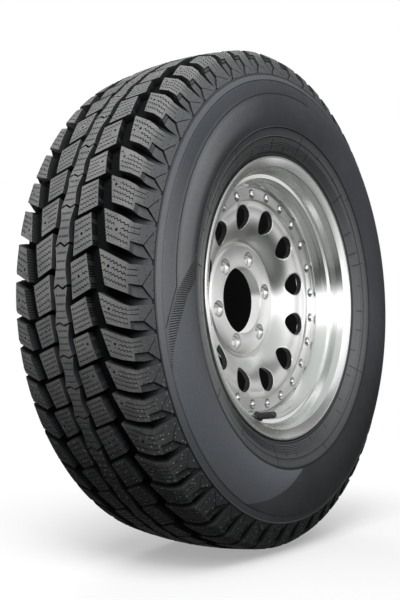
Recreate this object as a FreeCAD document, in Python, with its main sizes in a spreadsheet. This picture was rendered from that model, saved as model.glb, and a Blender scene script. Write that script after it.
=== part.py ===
"""Winter tyre fitted to its riveted two-piece aluminium wheel, with a snap-in valve.

Frame in millimetres: origin on the axle at the middle of the tyre, +Y along the axle towards
the car, so the outer face looks along -Y, and +Z up. The hub face of the wheel lies at y = 0.
"""
import FreeCAD, Part
import math
import os
import Sketcher
from FreeCAD import Placement, Rotation, Vector

# Driving dimensions: alias, value in millimetres, degrees or a plain count, and what it is.
DIMENSIONS = [
    ("tyre_r", 387.0, "outer radius of the tread at its middle"),
    ("tread_half", 88.0, "half width of the round crown"),
    ("crown_drop", 7.0, "fall of the crown from its middle to its edge"),
    ("edge_half", 98.0, "half width at the tread edge"),
    ("edge_drop", 14.0, "fall of the tread edge below the crown middle"),
    ("buttress_half", 108.0, "half width halfway down the shoulder lugs"),
    ("buttress_r", 354.5, "radius halfway down the shoulder lugs"),
    ("lug_end_half", 113.5, "half width where the shoulder lugs end on the side wall"),
    ("lug_end_r", 342.0, "radius where the shoulder lugs end on the side wall"),
    ("floor_half", 56.0, "half width of the flat floor between the outer grooves"),
    ("tread_depth", 13.0, "depth of the grooves"),
    ("block_root", 3.0, "depth the tread blocks reach into the casing under the grooves"),
    ("widest_half", 123.7, "half of the section width"),
    ("widest_r", 297.0, "radius of the widest place of the side wall"),
    ("bead_top_half", 102.5, "half width where the side wall leaves the rim"),
    ("bead_top_rise", 21.2, "height over the bead seat where the side wall leaves the rim"),
    ("casing_crown", 12.0, "thickness of the casing under the grooves"),
    ("casing_side", 9.0, "thickness of the side wall"),
    ("bead_width", 17.5, "width of the bead on its seat"),
    ("bead_toe", 3.5, "height of the bead's toe"),
    ("bead_clearance", 0.2, "gap between bead and rim"),
    ("rim_seat_r", 202.8, "radius of the bead seat"),
    ("rim_half", 88.9, "half of the rim width between the flanges"),
    ("flange_rise", 17.5, "height of the rim flange over the seat"),
    ("flange_round", 9.3, "radius of the flange's tyre side"),
    ("heel_cut", 6.2, "corner between flange and bead seat"),
    ("seat_width", 23.0, "width of the bead seat"),
    ("seat_fall", 1.5, "fall of the bead seat towards the well"),
    ("lip_front", 103.0, "distance of the outer lip's crest from the middle"),
    ("lip_back", 101.5, "distance of the inner lip's crest from the middle"),
    ("lip_edge", 2.0, "round of the lip's outer edge"),
    ("lip_crest", 5.8, "width of the lip's crest"),
    ("lip_inner_rise", 1.2, "height over the bead seat of the edge where the lip meets the dish"),
    ("lip_inner_y", 98.0, "distance of that edge from the middle"),
    ("band_drop", 6.8, "depth under the bead seat of the end of the dish's broad band"),
    ("band_y", 75.0, "distance of that edge from the middle"),
    ("step_drop", 13.3, "depth under the bead seat of the foot of the dish's step"),
    ("step_y", 74.0, "distance of the step's foot from the middle"),
    ("dish_drop", 24.3, "depth under the bead seat of the dish round the centre disc"),
    ("dish_y", 56.0, "distance of the dish's last edge from the middle"),
    ("well_drop", 18.3, "depth of the drop well under the bead seat"),
    ("well_front_y", 52.0, "outer end of the drop well"),
    ("well_back_y", 26.0, "inner end of the drop well"),
    ("well_rise", 14.0, "length of the slope from the well to the barrel"),
    ("barrel_drop", 6.8, "depth of the barrel's outside under the bead seat"),
    ("barrel_wall", 6.0, "wall of the barrel and the well"),
    ("ring_width", 18.5, "width of the ring that carries the disc"),
    ("ring_wall", 6.0, "thickness of that ring"),
    ("disc_front_y", 49.6, "distance of the disc's riveted face from the middle"),
    ("disc_wall", 5.6, "thickness of the disc at its riveted face"),
    ("disc_clearance", 0.3, "gap between disc and rim"),
    ("disc_step_in", 1.5, "distance of the step from the inside of the ring"),
    ("disc_step", 4.5, "height of that step"),
    ("bowl_in", 13.0, "distance from the inside of the ring to where the bowl turns to the hub"),
    ("bowl_y", 43.5, "distance of that turn from the middle"),
    ("bowl_mid_in", 29.0, "distance from that turn to the place halfway down the bowl"),
    ("bowl_mid_y", 35.5, "distance of that place from the middle"),
    ("bowl_wall", 9.0, "thickness of the bowl, measured along the axle"),
    ("pad_r", 91.0, "radius of the hub pad"),
    ("pad_depth", 17.5, "thickness of the hub pad"),
    ("pad_edge", 3.0, "bevel of the hub pad"),
    ("pad_foot_r", 95.0, "radius of the foot of the bowl round the pad"),
    ("hub_face_r", 100.0, "outer radius of the hub face"),
    ("hub_bore_r", 54.0, "radius of the hub bore"),
    ("lug_circle_r", 69.85, "radius of the circle of lug holes"),
    ("lug_count", 6, "number of lug holes"),
    ("lug_hole_r", 7.75, "radius of a lug hole"),
    ("lug_seat_r", 12.5, "radius of a lug hole's cone at the pad face"),
    ("lug_seat_depth", 7.0, "depth of that cone"),
    ("first_lug", 15.0, "angle of the first lug hole from +X"),
    ("vent_count", 12, "number of vents"),
    ("vent_outer_in", 14.0, "distance from the bowl's turn to the centre of a vent's wide end"),
    ("vent_outer_r", 18.8, "radius of a vent's wide end"),
    ("vent_inner_in", 18.3, "distance from the bowl's turn to the centre of a vent's narrow end"),
    ("vent_inner_r", 15.5, "radius of a vent's narrow end"),
    ("first_vent", 15.0, "angle of the first vent from +X"),
    ("rivet_count", 24, "number of rivets"),
    ("rivet_in", 11.1, "distance of the rivets from the dish round the disc"),
    ("first_rivet", 7.5, "angle of the first rivet from +X"),
    ("rivet_head_r", 6.4, "radius of a rivet's head at the disc"),
    ("rivet_top_r", 3.6, "radius of a rivet's head at its top"),
    ("rivet_head_h", 3.8, "height of a rivet's head"),
    ("valve_angle", 258.0, "angle of the valve from +X"),
    ("valve_drop", 15.3, "depth under the bead seat of the valve's axis at its own seat"),
    ("valve_seat_y", 67.0, "distance of the valve's seat from the middle"),
    ("valve_tilt", 7.0, "lean of the valve towards the axle"),
    ("valve_wall", 5.0, "wall that the valve snaps into"),
    ("valve_hole_r", 5.75, "radius of the valve hole"),
    ("valve_spot_r", 9.0, "radius of the flat round the hole, outside"),
    ("valve_pocket_r", 11.0, "radius of the pocket behind the hole"),
    ("stem_clearance", 0.1, "gap between the stem's neck and the wall"),
    ("stem_collar_r", 7.6, "radius of the stem's collar"),
    ("stem_collar_h", 3.0, "height of the collar"),
    ("stem_r", 5.4, "radius of the stem over the collar"),
    ("stem_h", 18.5, "height of the rubber over its seat"),
    ("stem_foot_r", 9.2, "radius of the stem's foot inside the tyre"),
    ("stem_foot_h", 6.0, "height of the foot"),
    ("tube_r", 3.0, "radius of the brass tube inside the rubber"),
    ("tube_bore_r", 1.8, "bore of the brass tube"),
    ("tube_sunk", 4.0, "depth of the tube below the seat"),
    ("thread_r", 3.85, "radius of the tube's threaded end"),
    ("thread_h", 12.0, "length of the threaded end"),
    ("core_bore_r", 2.6, "bore of the threaded end"),
    ("core_bore_h", 10.5, "depth of that bore"),
    ("core_clearance", 0.05, "gap between core and bore"),
    ("core_h", 8.0, "length of the valve core's barrel"),
    ("core_below", 0.5, "depth of the barrel under the end of the tube"),
    ("core_wall", 0.8, "wall of the barrel"),
    ("core_guide", 1.2, "thickness of the barrel's two guides"),
    ("pin_r", 0.7, "radius of the core's pin"),
    ("pin_clearance", 0.1, "gap round the pin"),
    ("pin_collar_r", 1.4, "radius of the pin's collar"),
    ("pin_collar_h", 0.8, "height of the pin's collar"),
    ("pin_out", 0.3, "length of the pin over the barrel"),
    ("seal_r", 1.7, "radius of the core's seal"),
    ("seal_h", 1.6, "height of the core's seal"),
    ("spring_wire", 0.3, "thickness of the spring's wire"),
    ("spring_turns", 6, "turns of the spring"),
    ("cap_r", 5.2, "radius of the cap"),
    ("cap_top", 2.0, "thickness of the cap's end"),
    ("cap_edge", 1.0, "bevel of the cap's end"),
    ("cap_clearance", 0.2, "gap between cap and threaded end"),
    ("cap_seal_h", 1.0, "thickness of the cap's seal"),
    ("cap_seal_clearance", 0.05, "gap between the cap's seal and what it meets"),
]

# Lengths of the pitches round the tread, as shares: short, medium and long.
PITCH_SHARE = {"S": 6.05, "M": 7.0, "L": 7.95}
# Order of the pitches round the tyre, mixed so that the tread hums on no single note.
PITCH_ORDER = "SLLSMLLSSSSLMSLSSMLSLMSSLLMSSMLSSLMLSSMLSLSMSLLMSSLS"
# Angle of the pitch line where the order starts.
PITCH_START = 133.7
# Place of the cut between two centre blocks inside a pitch, as a share of the pitch.
CENTRE_CUT = 0.54
# Half the width of that cut, as a share of the pitch.
CENTRE_CUT_HALF = 0.025
# Corners of a tread block: millimetres from the middle, then share of the pitch.
CENTRE_BLOCK = [
    (-11.9, CENTRE_CUT + CENTRE_CUT_HALF),
    (11.9, CENTRE_CUT + CENTRE_CUT_HALF),
    (8.2, CENTRE_CUT + 0.5),
    (11.9, CENTRE_CUT + 1 - CENTRE_CUT_HALF),
    (-11.9, CENTRE_CUT + 1 - CENTRE_CUT_HALF),
    (-8.2, CENTRE_CUT + 0.5),
]
MIDDLE_BLOCK = [(17.0, 0.0), (42.5, -0.2), (51.0, 0.61), (20.5, 0.85)]
SHOULDER_BLOCK = [
    (62.0, 0.72),
    (100.0, 1.105),
    (118.0, 1.105),
    (118.0, 1.877),
    (104.7, 1.877),
    (72.0, 1.568),
]


class Size:
    """A size with its number and the sheet formula that gives it."""

    def __init__(self, value, formula):
        self.value = value
        self.formula = formula

    def joined(self, sign, other, value):
        text = other.formula if isinstance(other, Size) else repr(other)
        return Size(value, f"({self.formula} {sign} {text})")

    def __add__(self, other):
        return self.joined("+", other, self.value + number(other))

    def __sub__(self, other):
        return self.joined("-", other, self.value - number(other))

    def __mul__(self, other):
        return self.joined("*", other, self.value * number(other))

    def __truediv__(self, other):
        return self.joined("/", other, self.value / number(other))

    def __neg__(self):
        return Size(-self.value, f"(0 - {self.formula})")


def number(size):
    """Plain number of a size."""
    return size.value if isinstance(size, Size) else size


def make_sheet(doc):
    """Spreadsheet of the driving dimensions, and a size for each of its cells."""
    sheet = doc.addObject("Spreadsheet::Sheet", "dims")
    sizes = {}
    for row, (alias, value, note) in enumerate(DIMENSIONS, start=1):
        sheet.set(f"A{row}", note)
        sheet.set(f"B{row}", str(value))
        sheet.setAlias(f"B{row}", alias)
        sizes[alias] = Size(value, f"dims.{alias}")
    doc.recompute()
    add_radii(sizes)
    return sizes


def add_radii(s):
    """Radii that follow the bead seat, so that tyre, rim, disc, rivets and valve keep together."""
    seat = s["rim_seat_r"]
    s["bead_top_r"] = seat + s["bead_top_rise"]
    s["lip_inner_r"] = seat + s["lip_inner_rise"]
    s["band_r"] = seat - s["band_drop"]
    s["step_r"] = seat - s["step_drop"]
    s["dish_r"] = seat - s["dish_drop"]
    s["well_r"] = seat - s["well_drop"]
    s["barrel_r"] = seat - s["barrel_drop"]
    s["valve_circle_r"] = seat - s["valve_drop"]
    s["ring_r"] = s["dish_r"] - s["ring_width"]
    s["rivet_circle_r"] = s["dish_r"] - s["rivet_in"]
    s["disc_step_r"] = s["ring_r"] - s["disc_step_in"]
    s["bowl_r"] = s["ring_r"] - s["bowl_in"]
    s["bowl_mid_r"] = s["bowl_r"] - s["bowl_mid_in"]
    s["vent_outer_at"] = s["bowl_r"] - s["vent_outer_in"]
    s["vent_inner_at"] = s["bowl_r"] - s["vent_inner_in"]


def origin_plane(body, role):
    """One of the body's own origin planes."""
    return next(plane for plane in body.Origin.OriginFeatures if plane.Role == role)


def origin_axis(body, role):
    """One of the body's own origin axes."""
    return next(axis for axis in body.Origin.OriginFeatures if axis.Role == role)


def bind_point(sketch, geometry, end, x, y):
    """Tie a point of the sketch to its sizes."""
    for kind, axis, size in (("DistanceX", -2, x), ("DistanceY", -1, y)):
        if number(size) == 0:
            sketch.addConstraint(Sketcher.Constraint("PointOnObject", geometry, end, axis))
            continue
        index = sketch.addConstraint(Sketcher.Constraint(kind, -1, 1, geometry, end, number(size)))
        sketch.setExpression(f"Constraints[{index}]", size.formula)


def closed_sketch(body, name, role, corners):
    """Closed outline of straight runs through the corners."""
    sketch = body.newObject("Sketcher::SketchObject", name)
    sketch.AttachmentSupport = [(origin_plane(body, role), "")]
    sketch.MapMode = "FlatFace"
    points = [Vector(number(x), number(y), 0) for x, y in corners]
    count = len(points)
    for i in range(count):
        sketch.addGeometry(Part.LineSegment(points[i], points[(i + 1) % count]), False)
    for i in range(count):
        sketch.addConstraint(Sketcher.Constraint("Coincident", i, 2, (i + 1) % count, 1))
    for i, (x, y) in enumerate(corners):
        bind_point(sketch, i, 1, x, y)
    return sketch


def turned_body(doc, name, corners):
    """Body turned about its Y axis from corners of (radius, place along the axis)."""
    body = doc.addObject("PartDesign::Body", name)
    sketch = closed_sketch(body, f"{name}_section", "XY_Plane", corners)
    turn = body.newObject("PartDesign::Revolution", f"{name}_turn")
    turn.Profile = sketch
    turn.ReferenceAxis = (sketch, ["V_Axis"])
    turn.Angle = 360
    body.Tip = turn
    doc.recompute()
    return body


def polar_cut(doc, body, sketch, name, count):
    """Pocket right through the body, repeated round its axis."""
    before = body.Shape.Volume
    pocket = body.newObject("PartDesign::Pocket", name)
    pocket.Profile = sketch
    pocket.Type = "ThroughAll"
    pocket.Midplane = True
    doc.recompute()
    pattern = body.newObject("PartDesign::PolarPattern", f"{name}s")
    pattern.Originals = [pocket]
    pattern.Axis = (sketch, ["N_Axis"])
    pattern.Angle = 360
    pattern.setExpression("Occurrences", count.formula)
    body.Tip = pattern
    doc.recompute()
    if body.Shape.Volume >= before:
        raise RuntimeError(f"{name} cuts nothing")


def hole_sketch(body, name, x, z, radius):
    """Circle on the body's XZ plane."""
    sketch = body.newObject("Sketcher::SketchObject", name)
    sketch.AttachmentSupport = [(origin_plane(body, "XZ_Plane"), "")]
    sketch.MapMode = "FlatFace"
    centre = Vector(number(x), number(z), 0)
    sketch.addGeometry(Part.Circle(centre, Vector(0, 0, 1), number(radius)), False)
    bind_point(sketch, 0, 3, x, z)
    index = sketch.addConstraint(Sketcher.Constraint("Radius", 0, number(radius)))
    sketch.setExpression(f"Constraints[{index}]", radius.formula)
    return sketch


def on_circle(radius, angle):
    """Sizes of the two coordinates of a place on a circle round the axle."""
    turn = math.radians(angle.value)
    x = Size(radius.value * math.cos(turn), f"{radius.formula} * cos({angle.formula} * 1 deg)")
    z = Size(radius.value * math.sin(turn), f"{radius.formula} * sin({angle.formula} * 1 deg)")
    return x, z


def mirrored(side):
    """Whole section from the corners of its half at +Y."""
    return side + [(r, -y) for r, y in reversed(side)]


def crown_height(s, across):
    """Radius of the tread surface at a distance from the middle."""
    return s["tyre_r"].value - s["crown_drop"].value * (across / s["tread_half"].value) ** 2


def tyre_casing(doc, s):
    """Hollow tyre up to the bottom of its grooves, with the beads on their seats."""
    seat_r = s["rim_seat_r"] + s["bead_clearance"]
    flange_y = s["rim_half"] - s["bead_clearance"]
    flange_r = s["rim_seat_r"] + s["flange_rise"] + s["bead_clearance"]
    toe_y = flange_y - s["bead_width"]
    floor_r = s["tyre_r"] - s["tread_depth"]
    liner_r = floor_r - s["casing_crown"]
    lower_r = (s["bead_top_r"] + s["widest_r"]) / 2
    lower_y = s["widest_half"] - (s["widest_half"] - s["bead_top_half"]) / 4
    side = [
        (floor_r, s["floor_half"]),
        (floor_r - s["crown_drop"], s["tread_half"]),
        (s["lug_end_r"], s["lug_end_half"]),
        (s["widest_r"], s["widest_half"]),
        (lower_r, lower_y),
        (s["bead_top_r"], s["bead_top_half"]),
        (flange_r, flange_y + s["flange_round"]),
        (flange_r - s["flange_round"], flange_y),
        (seat_r + s["heel_cut"], flange_y),
        (seat_r, flange_y - s["heel_cut"]),
        (seat_r, toe_y),
        (seat_r + s["bead_toe"], toe_y),
        (lower_r, lower_y - s["casing_side"]),
        (s["lug_end_r"] - s["casing_side"], s["lug_end_half"] - s["casing_side"] / 2),
        (liner_r - s["crown_drop"], s["tread_half"]),
    ]
    return turned_body(doc, "casing", mirrored(side))


def pitch_angle(place):
    """Angle in degrees of a place along the tread, counted in pitches."""
    shares = [PITCH_SHARE[kind] for kind in PITCH_ORDER]
    turns, within = divmod(place, len(shares))
    whole = int(within)
    run = sum(shares[:whole]) + shares[whole] * (within - whole)
    return PITCH_START + 360 * (turns + run / sum(shares))


def turned_round(outline):
    """The same block on the other half of the tread, turned half round a centre cut."""
    return [(-across, 2 * CENTRE_CUT - place) for across, place in outline]


def row_section(outline, s):
    """Section of a row of blocks across the tread: (distance from the middle, radius)."""
    near = min(across for across, _ in outline)
    far = max(across for across, _ in outline)
    root_r = s["tyre_r"].value - s["tread_depth"].value - s["block_root"].value
    if far < s["tread_half"].value:
        return [(near, crown_height(s, near)), (far, crown_height(s, far)), (far, root_r), (near, root_r)]
    root = s["block_root"].value
    return [
        (near, crown_height(s, near)),
        (s["tread_half"].value, crown_height(s, s["tread_half"].value)),
        (s["edge_half"].value, s["tyre_r"].value - s["edge_drop"].value),
        (s["buttress_half"].value, s["buttress_r"].value),
        (s["lug_end_half"].value - root / 2, s["lug_end_r"].value - root),
        (s["tread_half"].value, root_r - s["crown_drop"].value),
        (near, root_r),
    ]


def tread_block(outline, section, pitch, s):
    """One block: its outline raised along the radius, under the section of its row."""
    corners = [(across, math.radians(pitch_angle(pitch + place))) for across, place in outline]
    middle = sum(angle for _, angle in corners) / len(corners)
    out = Vector(math.cos(middle), 0, math.sin(middle))
    along = Vector(-math.sin(middle), 0, math.cos(middle))
    radius = s["tyre_r"].value
    low = min(r for _, r in section) - s["block_root"].value
    rise = radius - low + s["tread_depth"].value
    span = radius * math.radians(360 / len(PITCH_ORDER))
    base = [
        out * low + along * (radius * math.sin(angle - middle)) - Vector(0, across, 0)
        for across, angle in corners
    ]
    prism = Part.Face(Part.makePolygon(base + base[:1])).extrude(out * rise)
    edge = [out * r - Vector(0, across, 0) - along * span for across, r in section]
    bar = Part.Face(Part.makePolygon(edge + edge[:1])).extrude(along * (2 * span))
    return prism.common(bar)


def tread_blocks(doc, s):
    """All the blocks of the tread, five rows round the tyre."""
    rows = []
    for outline in (CENTRE_BLOCK, MIDDLE_BLOCK, SHOULDER_BLOCK):
        section = row_section(outline, s)
        rows.append((outline, section))
        if outline is not CENTRE_BLOCK:
            rows.append((turned_round(outline), [(-across, r) for across, r in section]))
    blocks = [
        tread_block(outline, section, pitch, s)
        for pitch in range(len(PITCH_ORDER))
        for outline, section in rows
    ]
    feature = doc.addObject("Part::Feature", "tread_blocks")
    feature.Shape = Part.makeCompound([solid for block in blocks for solid in block.Solids])
    return feature


def make_tyre(doc, s):
    """Tyre: the casing with the tread blocks moulded on it."""
    casing = tyre_casing(doc, s)
    blocks = tread_blocks(doc, s)
    tyre = doc.addObject("Part::Fuse", "tyre")
    tyre.Base = casing
    tyre.Tool = blocks
    return tyre


def rim_shell(doc, s):
    """Rim: two flanges, bead seats, drop well, barrel, and the ring that carries the disc."""
    top_r = s["rim_seat_r"] + s["flange_rise"]
    face_r = top_r - s["flange_round"]
    heel_r = s["rim_seat_r"] + s["heel_cut"]
    heel_y = s["rim_half"] - s["heel_cut"]
    seat_end_r = s["rim_seat_r"] - s["seat_fall"]
    seat_end_y = s["rim_half"] - s["seat_width"]
    inner_r = s["barrel_r"] - s["barrel_wall"]
    ring_front_y = s["disc_front_y"] - s["disc_wall"]
    ring_back_y = ring_front_y - s["ring_wall"]
    corners = [
        (top_r - s["lip_crest"], -s["lip_front"]),
        (top_r - s["lip_edge"], -s["lip_front"]),
        (top_r, -(s["lip_front"] - s["lip_edge"])),
        (top_r, -(s["rim_half"] + s["flange_round"])),
        (face_r, -s["rim_half"]),
        (heel_r, -s["rim_half"]),
        (s["rim_seat_r"], -heel_y),
        (seat_end_r, -seat_end_y),
        (s["well_r"], -s["well_front_y"]),
        (s["well_r"], -s["well_back_y"]),
        (s["barrel_r"], -(s["well_back_y"] - s["well_rise"])),
        (s["barrel_r"], seat_end_y - s["barrel_wall"]),
        (seat_end_r, seat_end_y),
        (s["rim_seat_r"], heel_y),
        (heel_r, s["rim_half"]),
        (face_r, s["rim_half"]),
        (top_r, s["rim_half"] + s["flange_round"]),
        (top_r, s["lip_back"]),
        (top_r - s["lip_crest"], s["lip_back"]),
        (s["lip_inner_r"] - s["barrel_wall"], s["rim_half"]),
        (inner_r, seat_end_y - s["barrel_wall"]),
        (inner_r, -(s["well_back_y"] - s["well_rise"] - s["barrel_wall"])),
        (s["dish_r"], -(s["well_back_y"] - s["barrel_wall"] / 2)),
        (s["dish_r"], -ring_back_y),
        (s["ring_r"], -ring_back_y),
        (s["ring_r"], -ring_front_y),
        (s["dish_r"], -ring_front_y),
        (s["dish_r"], -s["dish_y"]),
        (s["step_r"], -s["step_y"]),
        (s["band_r"], -s["band_y"]),
        (s["lip_inner_r"], -s["lip_inner_y"]),
    ]
    return turned_body(doc, "rim_shell", corners)


def valve_placement(s):
    """Place of the valve: its own +Y axis leaves the seat outwards, leaning to the axle."""
    turn = math.radians(s["valve_angle"].value)
    lean = math.radians(s["valve_tilt"].value)
    out = Vector(math.cos(turn), 0, math.sin(turn))
    axis = out * -math.sin(lean) + Vector(0, -math.cos(lean), 0)
    seat = out * s["valve_circle_r"].value + Vector(0, -s["valve_seat_y"].value, 0)
    return Placement(seat, Rotation(Vector(0, 1, 0), axis))


def valve_cutter(doc, s, name, radius, start, length):
    """Cylinder along the valve's axis, from a place on that axis."""
    tool = doc.addObject("Part::Cylinder", name)
    tool.setExpression("Radius", radius.formula)
    tool.setExpression("Height", length.formula)
    upright = Placement(Vector(0, start.value, 0), Rotation(Vector(1, 0, 0), -90))
    tool.Placement = valve_placement(s) * upright
    return tool


def make_rim(doc, s):
    """Rim with the valve hole, a flat outside it and a pocket behind it."""
    shell = rim_shell(doc, s)
    reach = s["seat_width"]
    tools = [
        valve_cutter(doc, s, "valve_hole", s["valve_hole_r"], -s["valve_wall"] * 2, s["valve_wall"] * 3),
        valve_cutter(doc, s, "valve_flat", s["valve_spot_r"], s["valve_wall"] * 0, reach),
        valve_cutter(doc, s, "valve_pocket", s["valve_pocket_r"], -(s["valve_wall"] + reach), reach),
    ]
    cutter = doc.addObject("Part::MultiFuse", "valve_cutters")
    cutter.Shapes = tools
    rim = doc.addObject("Part::Cut", "rim")
    rim.Base = shell
    rim.Tool = cutter
    return rim


def vent_sketch(body, s):
    """Egg-shaped vent: a wide round end and a narrow one, joined by two straight flanks."""
    sketch = body.newObject("Sketcher::SketchObject", "vent_outline")
    sketch.AttachmentSupport = [(origin_plane(body, "XZ_Plane"), "")]
    sketch.MapMode = "FlatFace"
    first = s["first_vent"]
    turn = math.radians(first.value)
    far, near = s["vent_outer_at"].value, s["vent_inner_at"].value
    wide, narrow = s["vent_outer_r"].value, s["vent_inner_r"].value
    flank = math.acos((wide - narrow) / (far - near))
    normal = Vector(0, 0, 1)

    def place(centre, radius, angle):
        return Vector(
            centre * math.cos(turn) + radius * math.cos(turn + angle),
            centre * math.sin(turn) + radius * math.sin(turn + angle),
            0,
        )

    open_end = math.pi - flank
    wide_circle = Part.Circle(place(far, 0, 0), normal, wide)
    narrow_circle = Part.Circle(place(near, 0, 0), normal, narrow)
    sketch.addGeometry(Part.ArcOfCircle(wide_circle, turn - open_end, turn + open_end), False)
    sketch.addGeometry(Part.LineSegment(place(far, wide, open_end), place(near, narrow, open_end)), False)
    sketch.addGeometry(
        Part.ArcOfCircle(narrow_circle, turn + open_end, turn + 2 * math.pi - open_end), False
    )
    sketch.addGeometry(Part.LineSegment(place(near, narrow, -open_end), place(far, wide, -open_end)), False)
    for geometry in range(4):
        sketch.addConstraint(Sketcher.Constraint("Tangent", geometry, 2, (geometry + 1) % 4, 1))
    bind_point(sketch, 0, 3, *on_circle(s["vent_outer_at"], first))
    bind_point(sketch, 2, 3, *on_circle(s["vent_inner_at"], first))
    for geometry, radius in ((0, s["vent_outer_r"]), (2, s["vent_inner_r"])):
        index = sketch.addConstraint(Sketcher.Constraint("Radius", geometry, radius.value))
        sketch.setExpression(f"Constraints[{index}]", radius.formula)
    return sketch


def lug_seats(doc, body, s):
    """Conical seats of the lug holes, turned into the pad face and repeated round the axle."""
    x, z = on_circle(s["lug_circle_r"], s["first_lug"])
    before = body.Shape.Volume
    cone = body.newObject("PartDesign::SubtractiveCone", "lug_seat")
    cone.setExpression("Radius1", s["lug_seat_r"].formula)
    cone.setExpression("Radius2", s["lug_hole_r"].formula)
    cone.setExpression("Height", s["lug_seat_depth"].formula)
    cone.AttachmentSupport = [(origin_plane(body, "XZ_Plane"), "")]
    cone.MapMode = "FlatFace"
    face = Vector(x.value, z.value, s["pad_depth"].value)
    cone.AttachmentOffset = Placement(face, Rotation(Vector(1, 0, 0), 180))
    doc.recompute()
    pattern = body.newObject("PartDesign::PolarPattern", "lug_seats")
    pattern.Originals = [cone]
    pattern.Axis = (origin_axis(body, "Y_Axis"), [""])
    pattern.Angle = 360
    pattern.setExpression("Occurrences", s["lug_count"].formula)
    body.Tip = pattern
    doc.recompute()
    if body.Shape.Volume >= before:
        raise RuntimeError("lug seats cut nothing")


def make_disc(doc, s):
    """Centre disc: hub pad, bowl with vents, and the riveted face that lies on the rim's ring."""
    edge_r = s["dish_r"] - s["disc_clearance"]
    back_y = s["disc_front_y"] - s["disc_wall"]
    step_y = s["disc_front_y"] - s["disc_step"]
    foot_y = s["pad_depth"] - s["pad_edge"]
    corners = [
        (s["hub_bore_r"], s["pad_depth"] * 0),
        (s["hub_face_r"], s["pad_depth"] * 0),
        (s["bowl_mid_r"], -(s["bowl_mid_y"] - s["bowl_wall"])),
        (s["bowl_r"], -(s["bowl_y"] - s["bowl_wall"])),
        (s["ring_r"] - s["disc_clearance"], -(s["bowl_y"] - s["bowl_wall"])),
        (s["ring_r"] - s["disc_clearance"], -back_y),
        (edge_r, -back_y),
        (edge_r, -s["disc_front_y"]),
        (s["disc_step_r"], -s["disc_front_y"]),
        (s["disc_step_r"] - s["disc_clearance"], -step_y),
        (s["bowl_r"], -s["bowl_y"]),
        (s["bowl_mid_r"], -s["bowl_mid_y"]),
        (s["pad_foot_r"], -foot_y),
        (s["pad_r"], -foot_y),
        (s["pad_r"] - s["pad_edge"], -s["pad_depth"]),
        (s["hub_bore_r"], -s["pad_depth"]),
    ]
    disc = turned_body(doc, "centre_disc", corners)
    polar_cut(doc, disc, vent_sketch(disc, s), "vent", s["vent_count"])
    lug_x, lug_z = on_circle(s["lug_circle_r"], s["first_lug"])
    lug_hole = hole_sketch(disc, "lug_circle", lug_x, lug_z, s["lug_hole_r"])
    polar_cut(doc, disc, lug_hole, "lug_hole", s["lug_count"])
    lug_seats(doc, disc, s)
    return disc


def make_rivets(doc, s):
    """Rivet heads that clamp the disc on the rim's ring, one turned solid and its copies."""
    face_y = s["disc_front_y"]
    top_y = face_y + s["rivet_head_h"]
    zero = s["rivet_head_h"] * 0
    head = turned_body(
        doc,
        "rivet_head",
        [(zero, -face_y), (s["rivet_head_r"], -face_y), (s["rivet_top_r"], -top_y), (zero, -top_y)],
    )
    copies = []
    count = int(s["rivet_count"].value)
    for i in range(count):
        turn = math.radians(s["first_rivet"].value + 360 * i / count)
        copy = head.Shape.copy()
        radius = s["rivet_circle_r"].value
        copy.translate(Vector(radius * math.cos(turn), 0, radius * math.sin(turn)))
        copies.append(copy)
    rivets = doc.addObject("Part::Feature", "rim_rivets")
    rivets.Shape = Part.makeCompound(copies)
    return rivets


def valve_levels(s):
    """Places along the valve's axis, counted outwards from its seat."""
    tube_end = s["stem_h"] + s["thread_h"]
    core_top = tube_end - s["core_below"]
    core_low = core_top - s["core_h"]
    return tube_end, core_top, core_low


def make_valve_stem(doc, s):
    """Rubber stem: foot inside the tyre, neck in the hole, collar and tapered sleeve."""
    gap = s["stem_clearance"]
    bore_r = s["tube_r"] + gap
    low = -(s["valve_wall"] + s["stem_foot_h"])
    under = -(s["valve_wall"] + gap)
    corners = [
        (bore_r, low),
        (s["stem_foot_r"], low),
        (s["stem_foot_r"], under),
        (s["valve_hole_r"] - gap, under),
        (s["valve_hole_r"] - gap, gap),
        (s["stem_collar_r"], gap),
        (s["stem_collar_r"], s["stem_collar_h"]),
        (s["stem_r"], s["stem_collar_h"] * 2),
        (s["stem_r"], s["stem_h"]),
        (bore_r, s["stem_h"]),
    ]
    return turned_body(doc, "valve_stem", corners)


def make_valve_tube(doc, s):
    """Brass tube with the threaded end that carries the cap outside and the core inside."""
    tube_end, _, _ = valve_levels(s)
    shoulder = s["stem_h"] + s["stem_clearance"]
    core_floor = tube_end - s["core_bore_h"]
    corners = [
        (s["tube_bore_r"], -s["tube_sunk"]),
        (s["tube_r"], -s["tube_sunk"]),
        (s["tube_r"], shoulder),
        (s["thread_r"], shoulder),
        (s["thread_r"], tube_end),
        (s["core_bore_r"], tube_end),
        (s["core_bore_r"], core_floor),
        (s["tube_bore_r"], core_floor),
    ]
    return turned_body(doc, "valve_tube", corners)


def make_core_barrel(doc, s):
    """Barrel of the valve core, with a guide for the pin at each end."""
    _, top, low = valve_levels(s)
    outer = s["core_bore_r"] - s["core_clearance"]
    inner = outer - s["core_wall"]
    guide = s["pin_r"] + s["pin_clearance"]
    corners = [
        (guide, top),
        (outer, top),
        (outer, low),
        (guide, low),
        (guide, low + s["core_guide"]),
        (inner, low + s["core_guide"]),
        (inner, top - s["core_guide"]),
        (guide, top - s["core_guide"]),
    ]
    return turned_body(doc, "valve_core_barrel", corners)


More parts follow.
